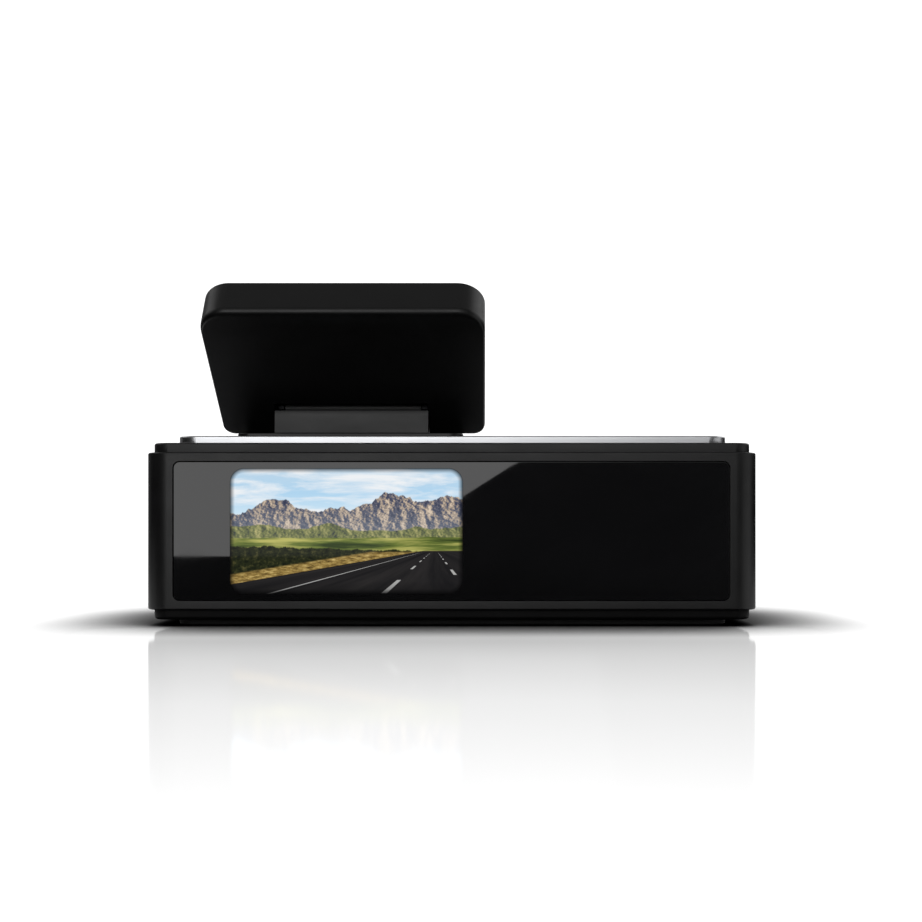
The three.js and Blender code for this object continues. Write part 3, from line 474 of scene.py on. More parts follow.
def add_light():
    """Soft boxes round the object: the slanted one is what the front glass mirrors."""
    seam = 25.2
    for name, strength, places in (
        ("soft_box", 2.3, ((-60, 9.8), (-11.5, 9.8), (12.8, seam), (-60, seam))),
        ("upper_box", 2.0, ((-60, seam), (20, seam), (30, 90), (-60, 90))),
        ("upper_fill", 0.6, ((20, seam), (75, seam), (75, 90), (30, 90))),
    ):
        glow_card(name, [in_glass(x * MM, z * MM) for x, z in places], strength)
    for name, start, end, low, high, strength in (
        ("right_box", (0.8, -0.8), (0.8, 0.05), -0.25, 0.25, 0.55),
        ("right_high_box", (1.5, -0.3), (1.5, 1.6), 0.5, 1.9, 0.8),
        ("left_fill", (-0.42, 0.9), (-0.94, 0.34), -0.3, 0.5, 0.12),
        ("left_high_box", (-1.5, -0.6), (-1.5, 1.6), 0.7, 1.9, 0.7),
        ("back_low_box", (-1.6, 3.0), (1.6, 3.0), 0.18, 1.1, 1.1),
        ("back_high_box", (-1.5, 1.6), (1.5, 1.6), 0.75, 1.9, 1.0),
        ("front_high_box", (-1.5, -1.5), (1.5, -1.5), 0.8, 1.9, 0.35),
    ):
        glow_card(name, upright(start, end, low, high), strength)
    glow_card("top_box", level_card((-0.7, -0.5), (0.7, 0.5), 1.0), 0.22)
    left, right = HOUSING_LOW.x, HOUSING_HIGH.x
    for name, low, high in (
        ("left_bounce", (left - 0.08, -0.03), (left - 0.004, 0.07)),
        ("right_bounce", (right + 0.004, -0.03), (right + 0.08, 0.07)),
        ("back_bounce", (left, HOUSING_HIGH.y + 0.006), (right, HOUSING_HIGH.y + 0.09)),
    ):
        glow_card(name, level_card(low, high, -MM), 0.8)


add_stage()
add_light()
bpy.context.scene.view_settings.view_transform = "Standard"


# ---------------- materials

def trim_metal(name, tone, smoothness):
    """Polished metal with faint brushing along its length."""
    g = Graph(name)
    lines = g.noise(9000, 2, 0.5, g.stretched(0.012, 1, 1))
    smear = g.noise(60, 4, 0.6)
    pale = tuple(min(1.0, value * 1.04) for value in tone)
    g.set(Base_Color=g.ramp(lines, [(0.3, tone), (0.7, pale)]), Metallic=1.0)
    rough = g.remap(lines, 0.3, 0.7, smoothness[0], smoothness[1])
    g.set(Roughness=g.math("ADD", rough, g.remap(smear, 0.35, 0.7, 0.0, 0.05)))
    g.bump(lines, 0.006, 0.000003)
    return g.material


def bright_steel(name, tone=(0.55, 0.56, 0.58), grain=1500):
    """Machined or stamped steel."""
    g = Graph(name)
    lines = g.noise(grain, 3, 0.6, g.stretched(0.08, 1, 1))
    spots = g.noise(300, 4, 0.6)
    dull = tuple(value * 0.72 for value in tone)
    g.set(Base_Color=g.ramp(spots, [(0.3, dull), (0.65, tone)]), Metallic=1.0)
    g.set(Roughness=g.remap(lines, 0.3, 0.7, 0.22, 0.42))
    g.bump(lines, 0.08, 0.00001)
    return g.material


def front_glass():
    """Glossy glass with a black printed back and a trace of wiping."""
    g = Graph("front_glass")
    haze = g.noise(45, 5, 0.62, g.stretched(1, 1, 1.8), 0.8)
    g.set(Base_Color=g.ramp(haze, [(0.35, (0.0034, 0.0034, 0.0037)), (0.75, (0.0046, 0.0046, 0.0050))]))
    g.set(Roughness=g.remap(haze, 0.45, 0.8, 0.015, 0.05), IOR=1.5)
    g.bump(g.noise(30, 2, 0.4), 0.01, 0.00001)
    return g.material


def soft_rubber(name, dark, light):
    """Matt rubber with a pebbled face and a little dust."""
    g = Graph(name)
    cloud = g.noise(220, 5, 0.65)
    g.set(Base_Color=g.ramp(cloud, [(0.3, dark), (0.75, light)]), Specular_IOR_Level=0.35)
    g.set(Roughness=g.remap(cloud, 0.3, 0.7, 0.62, 0.82))
    g.bump(g.cells(4200.0), 0.25, 0.00003)
    return g.material


def foam_tape():
    """Closed-cell foam with open pores, with painted shade in the pores."""
    g = Graph("foam_tape")
    pores_with_painted_shade = g.remap(g.cells(5200.0), 0.05, 0.35, 0.0, 1.0)
    cloud = g.noise(700, 5, 0.6)
    base = g.ramp(cloud, [(0.3, (0.014, 0.014, 0.015)), (0.7, (0.021, 0.021, 0.022))])
    # The pores are hollows in the bump, and painted shade darkens them in the colour.
    g.set(Base_Color=g.mix(pores_with_painted_shade, (0.006, 0.006, 0.0065), base), Specular_IOR_Level=0.4)
    g.set(Roughness=g.remap(cloud, 0.3, 0.7, 0.42, 0.6))
    g.bump(pores_with_painted_shade, 0.35, 0.00004)
    return g.material


def lens_coated(name, coat_thickness):
    """Dark lens glass with an interference coating."""
    g = Graph(name)
    depth = g.noise(400, 2, 0.4)
    g.set(Base_Color=g.ramp(depth, [(0.3, (0.004, 0.005, 0.009)), (0.7, (0.007, 0.008, 0.014))]))
    g.set(Roughness=g.remap(g.noise(240, 3), 0.4, 0.8, 0.008, 0.03), IOR=1.62)
    g.set(Thin_Film_Thickness=coat_thickness, Thin_Film_IOR=1.38, Coat_Weight=0.6, Coat_Roughness=0.02)
    return g.material


def circuit_board():
    """Green solder mask over copper tracks, with bare gold pads."""
    g = Graph("circuit_board")
    tracks = g.add(
        "ShaderNodeTexBrick", Vector=g.place, Scale=520.0, Mortar_Size=0.03, Brick_Width=0.9,
        Row_Height=0.35, Color1=(0.004, 0.055, 0.026, 1), Color2=(0.006, 0.075, 0.034, 1),
        Mortar=(0.012, 0.13, 0.055, 1),
    )
    dots = g.math("LESS_THAN", g.cells(700.0), 0.16)
    g.set(Base_Color=g.mix(dots, tracks.outputs["Color"], (0.62, 0.44, 0.16)))
    g.set(Metallic=g.math("MULTIPLY", dots, 0.9))
    g.set(Roughness=g.remap(g.noise(900, 3), 0.3, 0.7, 0.3, 0.45))
    g.bump(dots, 0.2, 0.00002)
    return g.material


def ribbon_film():
    """Amber film with copper lines."""
    g = Graph("ribbon_film")
    wave = g.add("ShaderNodeTexWave", Vector=g.place, Scale=1400.0, Distortion=0.0)
    wave.bands_direction = "Z"
    g.set(Base_Color=g.ramp(wave.outputs["Fac"], [(0.4, (0.34, 0.12, 0.012)), (0.6, (0.52, 0.22, 0.03))]))
    g.set(Roughness=g.remap(g.noise(500, 2), 0.3, 0.7, 0.25, 0.4))
    g.bump(wave.outputs["Fac"], 0.1, 0.00002)
    return g.material


def plain_detail(name, dark, light, rough, metallic=0.0):
    """A surface with fine colour, gloss and height changes."""
    g = Graph(name)
    cloud = g.noise(400, 5, 0.6)
    g.set(Base_Color=g.ramp(cloud, [(0.3, dark), (0.7, light)]), Metallic=metallic)
    g.set(Roughness=g.remap(cloud, 0.3, 0.7, rough[0], rough[1]))
    g.bump(g.noise(2400, 3), 0.1, 0.00002)
    return g.material


LIT_WIDTH = 32.4 * MM
LIT_HEIGHT = 17.5 * MM
LIT_RADIUS = 2.0 * MM
LIT_FEATHER = 0.7 * MM


def display_picture():
    """The lit display: an invented view of a road that runs towards mountains."""
    g = Graph("display_picture")
    parts = g.add("ShaderNodeSeparateXYZ", Vector=g.place)
    x = g.math("SUBTRACT", parts.outputs["X"], DISPLAY_MID.x)
    z = g.math("SUBTRACT", parts.outputs["Z"], DISPLAY_MID.z)
    across = g.math("MULTIPLY_ADD", x, 1 / LIT_WIDTH, 0.5)
    up = g.math("MULTIPLY_ADD", z, 1 / LIT_HEIGHT, 0.5)

    def field(scale_x, scale_y, seed, detail=4.0, roughness=0.55, distortion=0.0, shift=0.0):
        """Noise over the picture."""
        joined = g.add(
            "ShaderNodeCombineXYZ", Z=seed,
            X=g.math("MULTIPLY_ADD", across, scale_x, shift * scale_x),
            Y=g.math("MULTIPLY_ADD", up, scale_y, shift * scale_y / 2),
        )
        return g.noise(1.0, detail, roughness, joined.outputs[0], distortion)

    def below(height, softness=0.008):
        """One below a height in the picture and nothing above it."""
        return g.math("DIVIDE", g.math("SUBTRACT", height, up), softness, clamp=True)

    def ridge(middle, swing, scale, seed, detail=5.0, roughness=0.6):
        """A skyline."""
        return g.math("MULTIPLY_ADD", field(scale, 0.0, seed, detail, roughness), swing, middle - swing / 2)

    def lit_rock(scale, seed, strength):
        """How sunlit a slope is: the rise of its relief towards the sun."""
        here = field(scale, scale * 0.6, seed, 7.0, 0.6)
        there = field(scale, scale * 0.6, seed, 7.0, 0.6, shift=0.007)
        return g.math("MULTIPLY_ADD", g.math("SUBTRACT", here, there), strength, 0.5)

    sky = g.ramp(up, [(0.5, (0.72, 0.86, 0.93)), (0.8, (0.42, 0.65, 0.85)), (1.0, (0.50, 0.66, 0.80))])
    cloud = g.remap(field(2.6, 8.0, 3.1, 6.0, 0.6, 0.3), 0.44, 0.62, 0.0, 0.95)
    picture = g.mix(cloud, sky, (0.86, 0.88, 0.90))

    rock = g.ramp(lit_rock(9.0, 7.7, 5.5), [
        (0.22, (0.030, 0.036, 0.075)), (0.45, (0.10, 0.105, 0.15)),
        (0.58, (0.34, 0.27, 0.21)), (0.85, (0.72, 0.58, 0.44)),
    ])
    foothill = g.ramp(lit_rock(6.0, 19.2, 4.5), [
        (0.25, (0.040, 0.050, 0.055)), (0.5, (0.17, 0.19, 0.08)), (0.8, (0.50, 0.46, 0.20)),
    ])
    haze = g.remap(up, 0.42, 0.72, 0.30, 0.0)
    far = g.mix(haze, rock, (0.40, 0.46, 0.52))
    crags = g.math("MULTIPLY_ADD", field(17.0, 0.0, 5.5, 5.0), 0.16, -0.08)
    peaks = g.math("ADD", ridge(0.70, 0.62, 2.7, 11.3, 1.0), crags)
    picture = g.mix(below(peaks), picture, far)
    picture = g.mix(below(ridge(0.53, 0.26, 4.0, 23.9, 5.0, 0.5)), picture, foothill)

    meadow = g.ramp(field(3.0, 22.0, 31.0, 4.0, 0.6), [
        (0.34, (0.030, 0.050, 0.012)), (0.48, (0.13, 0.17, 0.035)), (0.66, (0.48, 0.46, 0.13)),
    ])
    picture = g.mix(below(ridge(0.45, 0.09, 2.6, 41.0, 2.0)), picture, meadow)
    bush = g.ramp(field(40.0, 26.0, 53.0, 5.0, 0.7), [
        (0.36, (0.004, 0.006, 0.003)), (0.54, (0.020, 0.024, 0.008)), (0.74, (0.11, 0.10, 0.035)),
    ])
    bush_top = g.math("MULTIPLY_ADD", across, -0.05, ridge(0.385, 0.12, 9.0, 61.0, 6.0, 0.7))
    bush_share = g.math("MULTIPLY", below(bush_top), g.remap(across, 0.78, 0.9, 1.0, 0.0))
    picture = g.mix(bush_share, picture, bush)
    grass = g.ramp(field(30.0, 60.0, 71.0, 5.0, 0.7), [
        (0.34, (0.055, 0.034, 0.010)), (0.52, (0.30, 0.20, 0.055)), (0.7, (0.66, 0.50, 0.19)),
    ])
    vanish_x, vanish_y = 0.88, 0.36
    verge = g.math("MINIMUM", g.math("MULTIPLY_ADD", across, 0.30, 0.16), vanish_y - 0.02)
    picture = g.mix(below(verge, 0.015), picture, grass)

    drop = g.math("MAXIMUM", g.math("SUBTRACT", vanish_y, up), 0.0005)
    lane = g.math("DIVIDE", g.math("SUBTRACT", across, vanish_x), drop)
    streaks = g.add(
        "ShaderNodeCombineXYZ", X=g.math("MULTIPLY", lane, 2.2), Y=g.math("MULTIPLY", up, 2.0))
    worn = g.noise(1.0, 4.0, 0.6, streaks.outputs[0])
    tar = g.ramp(worn, [(0.32, (0.0065, 0.0065, 0.0075)), (0.70, (0.024, 0.022, 0.022))])
    on_road = g.math("MULTIPLY", below(vanish_y - 0.012, 0.008), g.math("GREATER_THAN", lane, -3.1))
    picture = g.mix(on_road, picture, tar)

    def stripe(where, half_width):
        """One along a line that runs to the vanishing point."""
        off = g.math("ABSOLUTE", g.math("SUBTRACT", lane, where))
        return g.math("MULTIPLY", g.math("LESS_THAN", off, half_width), below(vanish_y - 0.03, 0.01))

    depth = g.math("DIVIDE", 1.0, drop)
    paint = (0.40, 0.40, 0.39)
    picture = g.mix(stripe(-2.0, 0.024), picture, paint)
    for lane_line, phase in ((-0.62, 0.15), (0.42, 0.55)):
        beat = g.math("FRACT", g.math("MULTIPLY_ADD", depth, 0.30, phase))
        dash = g.math("MULTIPLY", stripe(lane_line, 0.034), g.math("LESS_THAN", beat, 0.36))
        picture = g.mix(dash, picture, paint)
    picture = g.mix(g.remap(up, 0.0, 0.10, 0.6, 0.0), picture, (0.004, 0.004, 0.004))

    off_x = g.math("SUBTRACT", g.math("ABSOLUTE", x), LIT_WIDTH / 2 - LIT_RADIUS)
    off_z = g.math("SUBTRACT", g.math("ABSOLUTE", z), LIT_HEIGHT / 2 - LIT_RADIUS)
    corner = g.math("SQRT", g.math(
        "ADD",
        g.math("POWER", g.math("MAXIMUM", off_x, 0.0), 2.0),
        g.math("POWER", g.math("MAXIMUM", off_z, 0.0), 2.0),
    ))
    edge = g.math("ADD", corner, g.math("MINIMUM", g.math("MAXIMUM", off_x, off_z), 0.0))
    inside = g.remap(edge, LIT_RADIUS - LIT_FEATHER, LIT_RADIUS, 1.0, 0.0)
    g.set(Emission_Color=g.mix(inside, (0.0, 0.0, 0.0), picture), Emission_Strength=1.0)
    g.set(Base_Color=(0.0035, 0.0035, 0.0038), Roughness=0.03, IOR=1.5, Specular_IOR_Level=0.06)
    return g.material


HOUSING = moulded_plastic("housing_plastic", (0.0022, 0.0022, 0.0025), (0.0042, 0.0042, 0.0046))
COVER = moulded_plastic("cover_plastic", (0.003, 0.003, 0.0033), (0.0055, 0.0055, 0.006), (0.36, 0.46))
# A darker copy of the cover plastic: painted shade on the bottom cover, which sits under the band.
SHADED_COVER = moulded_plastic(
    "shaded_cover_plastic", (0.0016, 0.0016, 0.0018), (0.003, 0.003, 0.0033), (0.5, 0.6), 0.15, 0.16)
MOUNT = moulded_plastic("mount_plastic", (0.001, 0.001, 0.0011), (0.0018, 0.0018, 0.002), (0.34, 0.44), 0.08)
BUTTON = moulded_plastic("button_plastic", (0.008, 0.008, 0.009), (0.013, 0.013, 0.014), (0.42, 0.55), 0.2)
HOOD = moulded_plastic("lens_black", (0.004, 0.004, 0.0045), (0.007, 0.007, 0.008), (0.36, 0.5), 0.15)
TRIM = trim_metal("trim_metal", (0.74, 0.75, 0.77), (0.28, 0.32))
STEEL = bright_steel("machined_steel")
BLACKENED = bright_steel("blackened_steel", (0.012, 0.012, 0.013), 700)
STAMPED = bright_steel("stamped_steel", (0.62, 0.63, 0.65), 900)
GLASS = front_glass()
RUBBER = soft_rubber("pad_rubber", (0.006, 0.006, 0.0065), (0.014, 0.014, 0.015))
FOAM = foam_tape()
BOARD = circuit_board()
CHIP = moulded_plastic("chip_epoxy", (0.010, 0.010, 0.011), (0.020, 0.020, 0.021), (0.45, 0.6), 0.2)
FILM = ribbon_film()
GOLD = plain_detail("contact_gold", (0.62, 0.42, 0.14), (0.80, 0.58, 0.22), (0.2, 0.32), 1.0)


# ---------------- camera body

GAP = 0.15 * MM
WALL = 1.8 * MM
FRONT_WALL = 2.2 * MM
SIDE_CUT = 3 * MM            # how deep the openings in the two sides are cut
BUTTON_LIP = 0.8 * MM        # a button's flange stands out this far round its cap
BUTTON_GAP = 0.12 * MM
INLET_GAP = 0.25 * MM
CARD_GAP = 0.2 * MM
THUMB_RADIUS = 3.2 * MM
LIGHT_HOLE_RADIUS = 0.9 * MM
MICROPHONE_RADIUS = 0.55 * MM
MICROPHONE_Y = 9 * MM
LENS_HOLE_RADIUS = 8.35 * MM
LENS_SEAT_RADIUS = 10.45 * MM
PICTURE_GAP = 2e-6           # keeps the lit picture clear of the glass round it
LENS_MID = span("lens_bezel")[2]
LENS_AXIS = Vector((LENS_MID.x, 0, LENS_MID.z))


def facing(width, height, radius, low, high, middle, low_fillet=0.0, high_fillet=0.0, steps=10):
    """A slab whose outline lies in X and Z, round a middle, and whose thickness runs along Y."""
    centre = (middle[0], middle[2])
    return moved(slab(width, height, radius, low, high, low_fillet, high_fillet, centre, steps), FRONT_FACING)


def sideways(length, height, radius, low, high, middle, low_fillet=0.0, high_fillet=0.0, steps=10):
    """A slab whose outline lies in Y and Z, round a middle, and whose thickness runs along X."""
    centre = (middle[1], middle[2])
    return moved(slab(length, height, radius, low, high, low_fillet, high_fillet, centre, steps), SIDE_FACING)


def round_hole(axis, radius, low, high, x, y, z, steps=48):
    """A cylinder along 'x', 'y' or 'z', used for cutting and for simple pins."""
    outline = [(radius * math.cos(2 * math.pi * s / steps), radius * math.sin(2 * math.pi * s / steps))
               for s in range(steps)]
    point = {
        "x": lambda level, a, b: (level, y + a, z + b),
        "y": lambda level, a, b: (x + a, level, z + b),
        "z": lambda level, a, b: (x + a, y + b, level),
    }[axis]
    return loft([[point(level, a, b) for a, b in outline] for level in (low, high)])


def level_slab(node, radius, low, high, low_fillet=0.0, high_fillet=0.0, steps=16, edge_steps=4):
    """A level slab between two heights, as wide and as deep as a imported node."""
    start, end, middle = span(node)
    return slab(end.x - start.x, end.y - start.y, radius, low, high, low_fillet, high_fillet,
                (middle.x, middle.y), steps, edge_steps)


VENT_COUNT = 11
VENT_PITCH = 2.7 * MM
VENT_WIDTH = 1.3 * MM
VENT_HEIGHT = 10 * MM
VENT_MIDDLE_X = -18 * MM


def vent_tools(back, middle_z):
    """Cutters for the upright air slots."""
    return [
        facing(VENT_WIDTH, VENT_HEIGHT, VENT_WIDTH / 2 - HAIR, back - WALL - MM, back + MM,
               (VENT_MIDDLE_X + (index - (VENT_COUNT - 1) / 2) * VENT_PITCH, 0, middle_z), steps=5)
        for index in range(VENT_COUNT)
    ]


def side_tools(low, high, middle_z):
    """Cutters for the buttons, the card slot, the power inlet, the light and the microphone."""
    tools = []
    for node, side in (("power_button", 1), ("record_button", -1)):
        button_low, button_high, button_mid = span(node)
        length = button_high.y - button_low.y - 2 * BUTTON_LIP + 2 * BUTTON_GAP
        height = button_high.z - button_low.z - 2 * BUTTON_LIP + 2 * BUTTON_GAP
        start, end = (high.x - SIDE_CUT, high.x + MM) if side > 0 else (low.x - MM, low.x + SIDE_CUT)
        tools.append(sideways(length, height, height / 2 - HAIR, start, end, button_mid))
    inlet_low, inlet_high, inlet_mid = span("power_inlet")
    tools.append(sideways(
        inlet_high.y - inlet_low.y + 2 * INLET_GAP, inlet_high.z - inlet_low.z + 2 * INLET_GAP,
        (inlet_high.y - inlet_low.y) / 2 + INLET_GAP - HAIR, low.x - MM, low.x + SIDE_CUT, inlet_mid,
    ))
    card_low, card_high, card_mid = span("memory_card")
    tools.append(sideways(
        card_high.y - card_low.y + 2 * CARD_GAP, card_high.z - card_low.z + 0.5 * MM, 0.4 * MM,
        high.x - SIDE_CUT, high.x + MM, card_mid, steps=5,
    ))
    tools.append(round_hole("z", THUMB_RADIUS, card_mid.z - 3 * MM, card_mid.z + 3 * MM,
                            high.x + 2.7 * MM, card_mid.y, 0))
    light_mid = span("status_light_pipe")[2]
    tools.append(round_hole("x", LIGHT_HOLE_RADIUS, high.x - SIDE_CUT, high.x + MM,
                            0, light_mid.y, light_mid.z, 32))
    tools.append(round_hole("x", MICROPHONE_RADIUS, low.x - MM, low.x + SIDE_CUT,
                            0, MICROPHONE_Y, middle_z, 24))
    return tools


def make_housing():
    """The band: a rounded sleeve, open above and below, with a recessed glass front."""
    low, high, middle = HOUSING_LOW, HOUSING_HIGH, HOUSING_MID
    made = as_object("housing_band", level_slab(
        "main_housing", 3.4 * MM, low.z, high.z, 0.25 * MM, 0.25 * MM, 18))
    inner_depth = high.y - low.y - WALL - FRONT_WALL
    cavity = slab(
        high.x - low.x - 2 * WALL, inner_depth, 1.6 * MM, low.z - MM, high.z + MM,
        centre=(middle.x, low.y + FRONT_WALL + inner_depth / 2), steps=8,
    )
    recess = facing(
        GLASS_HIGH.x - GLASS_LOW.x + 2 * GAP, GLASS_HIGH.z - GLASS_LOW.z + 2 * GAP, 0.95 * MM,
        low.y - MM, low.y + 1.45 * MM, GLASS_MID, steps=8,
    )
    window = facing(
        33.6 * MM, 18.1 * MM, 1.5 * MM, low.y - MM, low.y + FRONT_WALL + MM, DISPLAY_MID,
    )
    lens_hole = round_hole("y", LENS_HOLE_RADIUS, high.y - WALL - MM, high.y + MM, *LENS_AXIS, 64)
    lens_seat = round_hole("y", LENS_SEAT_RADIUS, high.y - 0.25 * MM, high.y + MM, *LENS_AXIS, 96)
    cut(made, [cavity, recess, window, lens_hole, lens_seat, *vent_tools(high.y, middle.z),
               *side_tools(low, high, middle.z)])
    complete(made, HOUSING, "main_housing", edge=0.08 * MM)


def make_glass():
    """The front glass with the lit display seen through its clear window."""
    low, high, middle = GLASS_LOW, GLASS_HIGH, GLASS_MID
    made = as_object("front_glass_panel", facing(
        high.x - low.x + GAP, high.z - low.z + GAP, 0.88 * MM, low.y, high.y, middle,
        0.1 * MM, 0.05 * MM,
    ))
    window = facing(
        LIT_WIDTH, LIT_HEIGHT, LIT_RADIUS, low.y - MM, high.y + MM, DISPLAY_MID, steps=16,
    )
    cut(made, [window])
    complete(made, GLASS, "glass_panel")
    picture = as_object("display_window", facing(
        LIT_WIDTH - PICTURE_GAP, LIT_HEIGHT - PICTURE_GAP, LIT_RADIUS, low.y, high.y + 0.2 * MM,
        DISPLAY_MID, steps=16,
    ))
    complete(picture, display_picture())


RAIL_FRONT = -6 * MM
RAIL_BACK = 8 * MM
RAIL_HALF = 7 * MM
RAIL_NECK_HALF = 5 * MM
RAIL_GAP = 0.25 * MM


def rail_tool(half, floor, top):
    """A cutter for one step of the T-shaped channel, which is open at the back."""
    middle = span("mount_foot")[2].x
    return box_mesh((middle - half - RAIL_GAP, RAIL_FRONT - RAIL_GAP, floor),
                    (middle + half + RAIL_GAP, HOUSING_HIGH.y + 2 * MM, top))


GRILLE_X = -16.5 * MM
GRILLE_Y = 6.5 * MM
GRILLE_PITCH = 2.4 * MM
GRILLE_RADIUS = 0.6 * MM


def grille_tools(low, high):
    """Cutters for the speaker's holes."""
    return [
        round_hole("z", GRILLE_RADIUS, low, high,
                   GRILLE_X + column * GRILLE_PITCH, GRILLE_Y + row * GRILLE_PITCH, 0, 20)
        for row in (-1, 0, 1)
        for column in (-2, -1, 0, 1, 2)
    ]


def make_covers():
    """Top cover, trim plate, bottom cover and base pad."""
    high = span("top_cover")[1]
    base = HOUSING_HIGH.z
    cover = as_object("top_cover_plate", level_slab("top_cover", 2.4 * MM, base, high.z, 0.0, 0.3 * MM))
    floor_pad = box_mesh((-24.2 * MM, -8.3 * MM, base - 1.4 * MM), (-6.2 * MM, 15.9 * MM, base + 0.3 * MM))
    cut(cover, [floor_pad], "UNION")
    cut(cover, [rail_tool(RAIL_HALF, base, high.z + MM)])
    complete(cover, COVER, "top_cover", edge=0.06 * MM)

    low, high, _ = span("top_trim_plate")
    trim = as_object("trim_plate", level_slab("top_trim_plate", 2.9 * MM, low.z, high.z, 0.0, 0.22 * MM))
    cut(trim, [rail_tool(RAIL_NECK_HALF, low.z - MM, high.z + MM)])
    complete(trim, TRIM, "top_trim_plate", edge=0.06 * MM)

    low = span("bottom_cover")[0]
    cover = as_object("bottom_cover_plate", level_slab(
        "bottom_cover", 2.4 * MM, low.z, HOUSING_LOW.z, 0.5 * MM))
    cut(cover, grille_tools(low.z - MM, HOUSING_LOW.z + MM))
    complete(cover, SHADED_COVER, "bottom_cover", edge=0.06 * MM)

    low, high, _ = span("base_pad")
    pad = as_object("base_pad_sheet", level_slab("base_pad", 2.9 * MM, low.z, high.z, 0.2 * MM))
    cut(pad, [
        slab(13 * MM, 8.2 * MM, 2.5 * MM, low.z - MM, high.z + MM, centre=(GRILLE_X, GRILLE_Y), steps=8),
        slab(26 * MM, 13 * MM, 1.2 * MM, low.z - MM, low.z + 0.15 * MM, centre=(14 * MM, 1 * MM), steps=6),
    ])
    complete(pad, RUBBER, "base_pad", edge=0.08 * MM)


# ---------------- lens

LENS_EDGE = 0.04 * MM


def at_lens(mesh):
    """A turned mesh carried to the lens axis."""
    return moved(mesh, Matrix.Translation(LENS_AXIS))


def make_lens():
    """Hood with stepped baffles, bright ring, barrel and coated glass."""
    low, high, _ = span("lens_bezel")
    radius = (high.x - low.x) / 2
    back = high.y
    neck = HOUSING_HIGH.y
    mouth, throat, stem = 8.6 * MM, 6.4 * MM, 8.2 * MM
    outer = [
        (throat, low.y), (stem, low.y), (stem, neck + 0.02 * MM),
        (radius - 0.15 * MM, neck + 0.02 * MM), (radius, neck + 0.2 * MM), (radius, back - 0.75 * MM),
    ]
    rim = [
        (radius - 0.6 * MM * (1 - math.cos(a)), back - 0.75 * MM + 0.75 * MM * math.sin(a))
        for a in (math.pi / 2 * step / 6 for step in range(1, 7))
    ]
    steps = 7
    baffles = [(mouth + 0.35 * MM, back), (mouth, back - 0.12 * MM)]
    for step in range(steps):
        share = (step + 1) / steps
        y = back - 0.12 * MM - (back - 0.12 * MM - neck + 0.6 * MM) * share
        wide = mouth + (throat - mouth) * step / steps
        narrow = mouth + (throat - mouth) * share
        baffles += [(wide, y), (narrow, y)]
    made = as_object("lens_hood", at_lens(turned(outer + rim + baffles, 128)))
    complete(made, HOOD, "lens_bezel", edge=LENS_EDGE, edge_angle=50, smooth_angle=40)

    low, high, _ = span("lens_trim_ring")
    outer_radius = (high.x - low.x) / 2
    inner_radius = 8.7 * MM
    half = (outer_radius - inner_radius) / 2
    middle_radius = (outer_radius + inner_radius) / 2
    height = high.y - low.y
    profile = [(inner_radius, low.y - 0.05 * MM)] + [
        (middle_radius - half * math.cos(a), low.y + height * math.sin(a) ** 0.7)
        for a in (math.pi * step / 12 for step in range(13))
    ] + [(outer_radius, low.y - 0.05 * MM)]
    ring = as_object("lens_ring", at_lens(turned(profile, 128)))
    complete(ring, TRIM, "lens_trim_ring", smooth_angle=40)

    low, high, _ = span("lens_barrel")
    radius = (high.x - low.x) / 2
    profile = [
        (3.2 * MM, low.y), (radius, low.y), (radius, high.y - 0.3 * MM), (radius - 0.3 * MM, high.y),
        (5.3 * MM, high.y), (5.15 * MM, high.y - 0.4 * MM), (5.15 * MM, high.y - 2.0 * MM),
        (4.6 * MM, high.y - 2.0 * MM), (4.6 * MM, high.y - 2.6 * MM), (4.1 * MM, high.y - 2.6 * MM),
        (4.1 * MM, high.y - 3.4 * MM), (3.2 * MM, high.y - 3.4 * MM),
    ]
    barrel = as_object("lens_tube", at_lens(turned(profile, 96)))
    complete(barrel, HOOD, "lens_barrel", edge=LENS_EDGE, edge_angle=50, smooth_angle=40)

    low, high, _ = span("front_lens")
    radius = (high.x - low.x) / 2
    dome = [(0, low.y), (radius - 0.1 * MM, low.y), (radius, low.y + 0.1 * MM), (radius, low.y + 1.1 * MM)]
    dome += [
        (radius * math.cos(a), low.y + 1.15 * MM + (high.y - low.y - 1.15 * MM) * math.sin(a))
        for a in (math.pi / 2 * step / 20 for step in range(1, 21))
    ]
    glass = as_object("front_lens_glass", at_lens(turned(dome, 96, closed=False)))
    complete(glass, lens_coated("lens_coating", 420.0), "front_lens", smooth_angle=40)


# ---------------- buttons, light, inlet and card

def make_buttons():
    """Two side buttons, one marked with a recessed bar and one with a recessed dot."""
    for node, side, marks in (("power_button", 1, "bar"), ("record_button", -1, "dot")):
        low, high, middle = span(node)
        length = high.y - low.y - 2 * BUTTON_LIP
        height = high.z - low.z - 2 * BUTTON_LIP
        outer, inner = (high.x, low.x) if side > 0 else (low.x, high.x)
        start, end = sorted((inner + side * 0.2 * MM, outer))
        near, far = (0.0, 0.25 * MM) if side > 0 else (0.25 * MM, 0.0)
        cap = as_object(node + "_cap", sideways(
            length, height, height / 2 - HAIR, start, end, middle, near, far, 16))
        flange = sideways(
            high.y - low.y, high.z - low.z, (high.z - low.z) / 2 - HAIR,
            *sorted((inner, inner + side * 0.9 * MM)), middle, steps=12)
        cut(cap, [flange], "UNION")
        depth = 0.18 * MM
        if marks == "bar":
            mark = sideways(3.6 * MM, 0.7 * MM, 0.34 * MM,
                            *sorted((outer - side * depth, outer + side * MM)), middle, steps=6)
        else:
            mark = round_hole("x", 0.75 * MM, *sorted((outer - side * depth, outer + side * MM)),
                              0, middle.y, middle.z, 32)
        cut(cap, [mark])
        complete(cap, BUTTON, node, body=node, edge=0.05 * MM, edge_angle=50)


def contact_row(name, corners):
    """One object of plain boxes, each between two corners."""
    contacts = bmesh.new()
    for low, high in corners:
        one = box_mesh(low, high)
        data = bpy.data.meshes.new("contact")
        one.to_mesh(data)
        one.free()
        contacts.from_mesh(data)
        bpy.data.meshes.remove(data)
    return as_object(name, contacts)


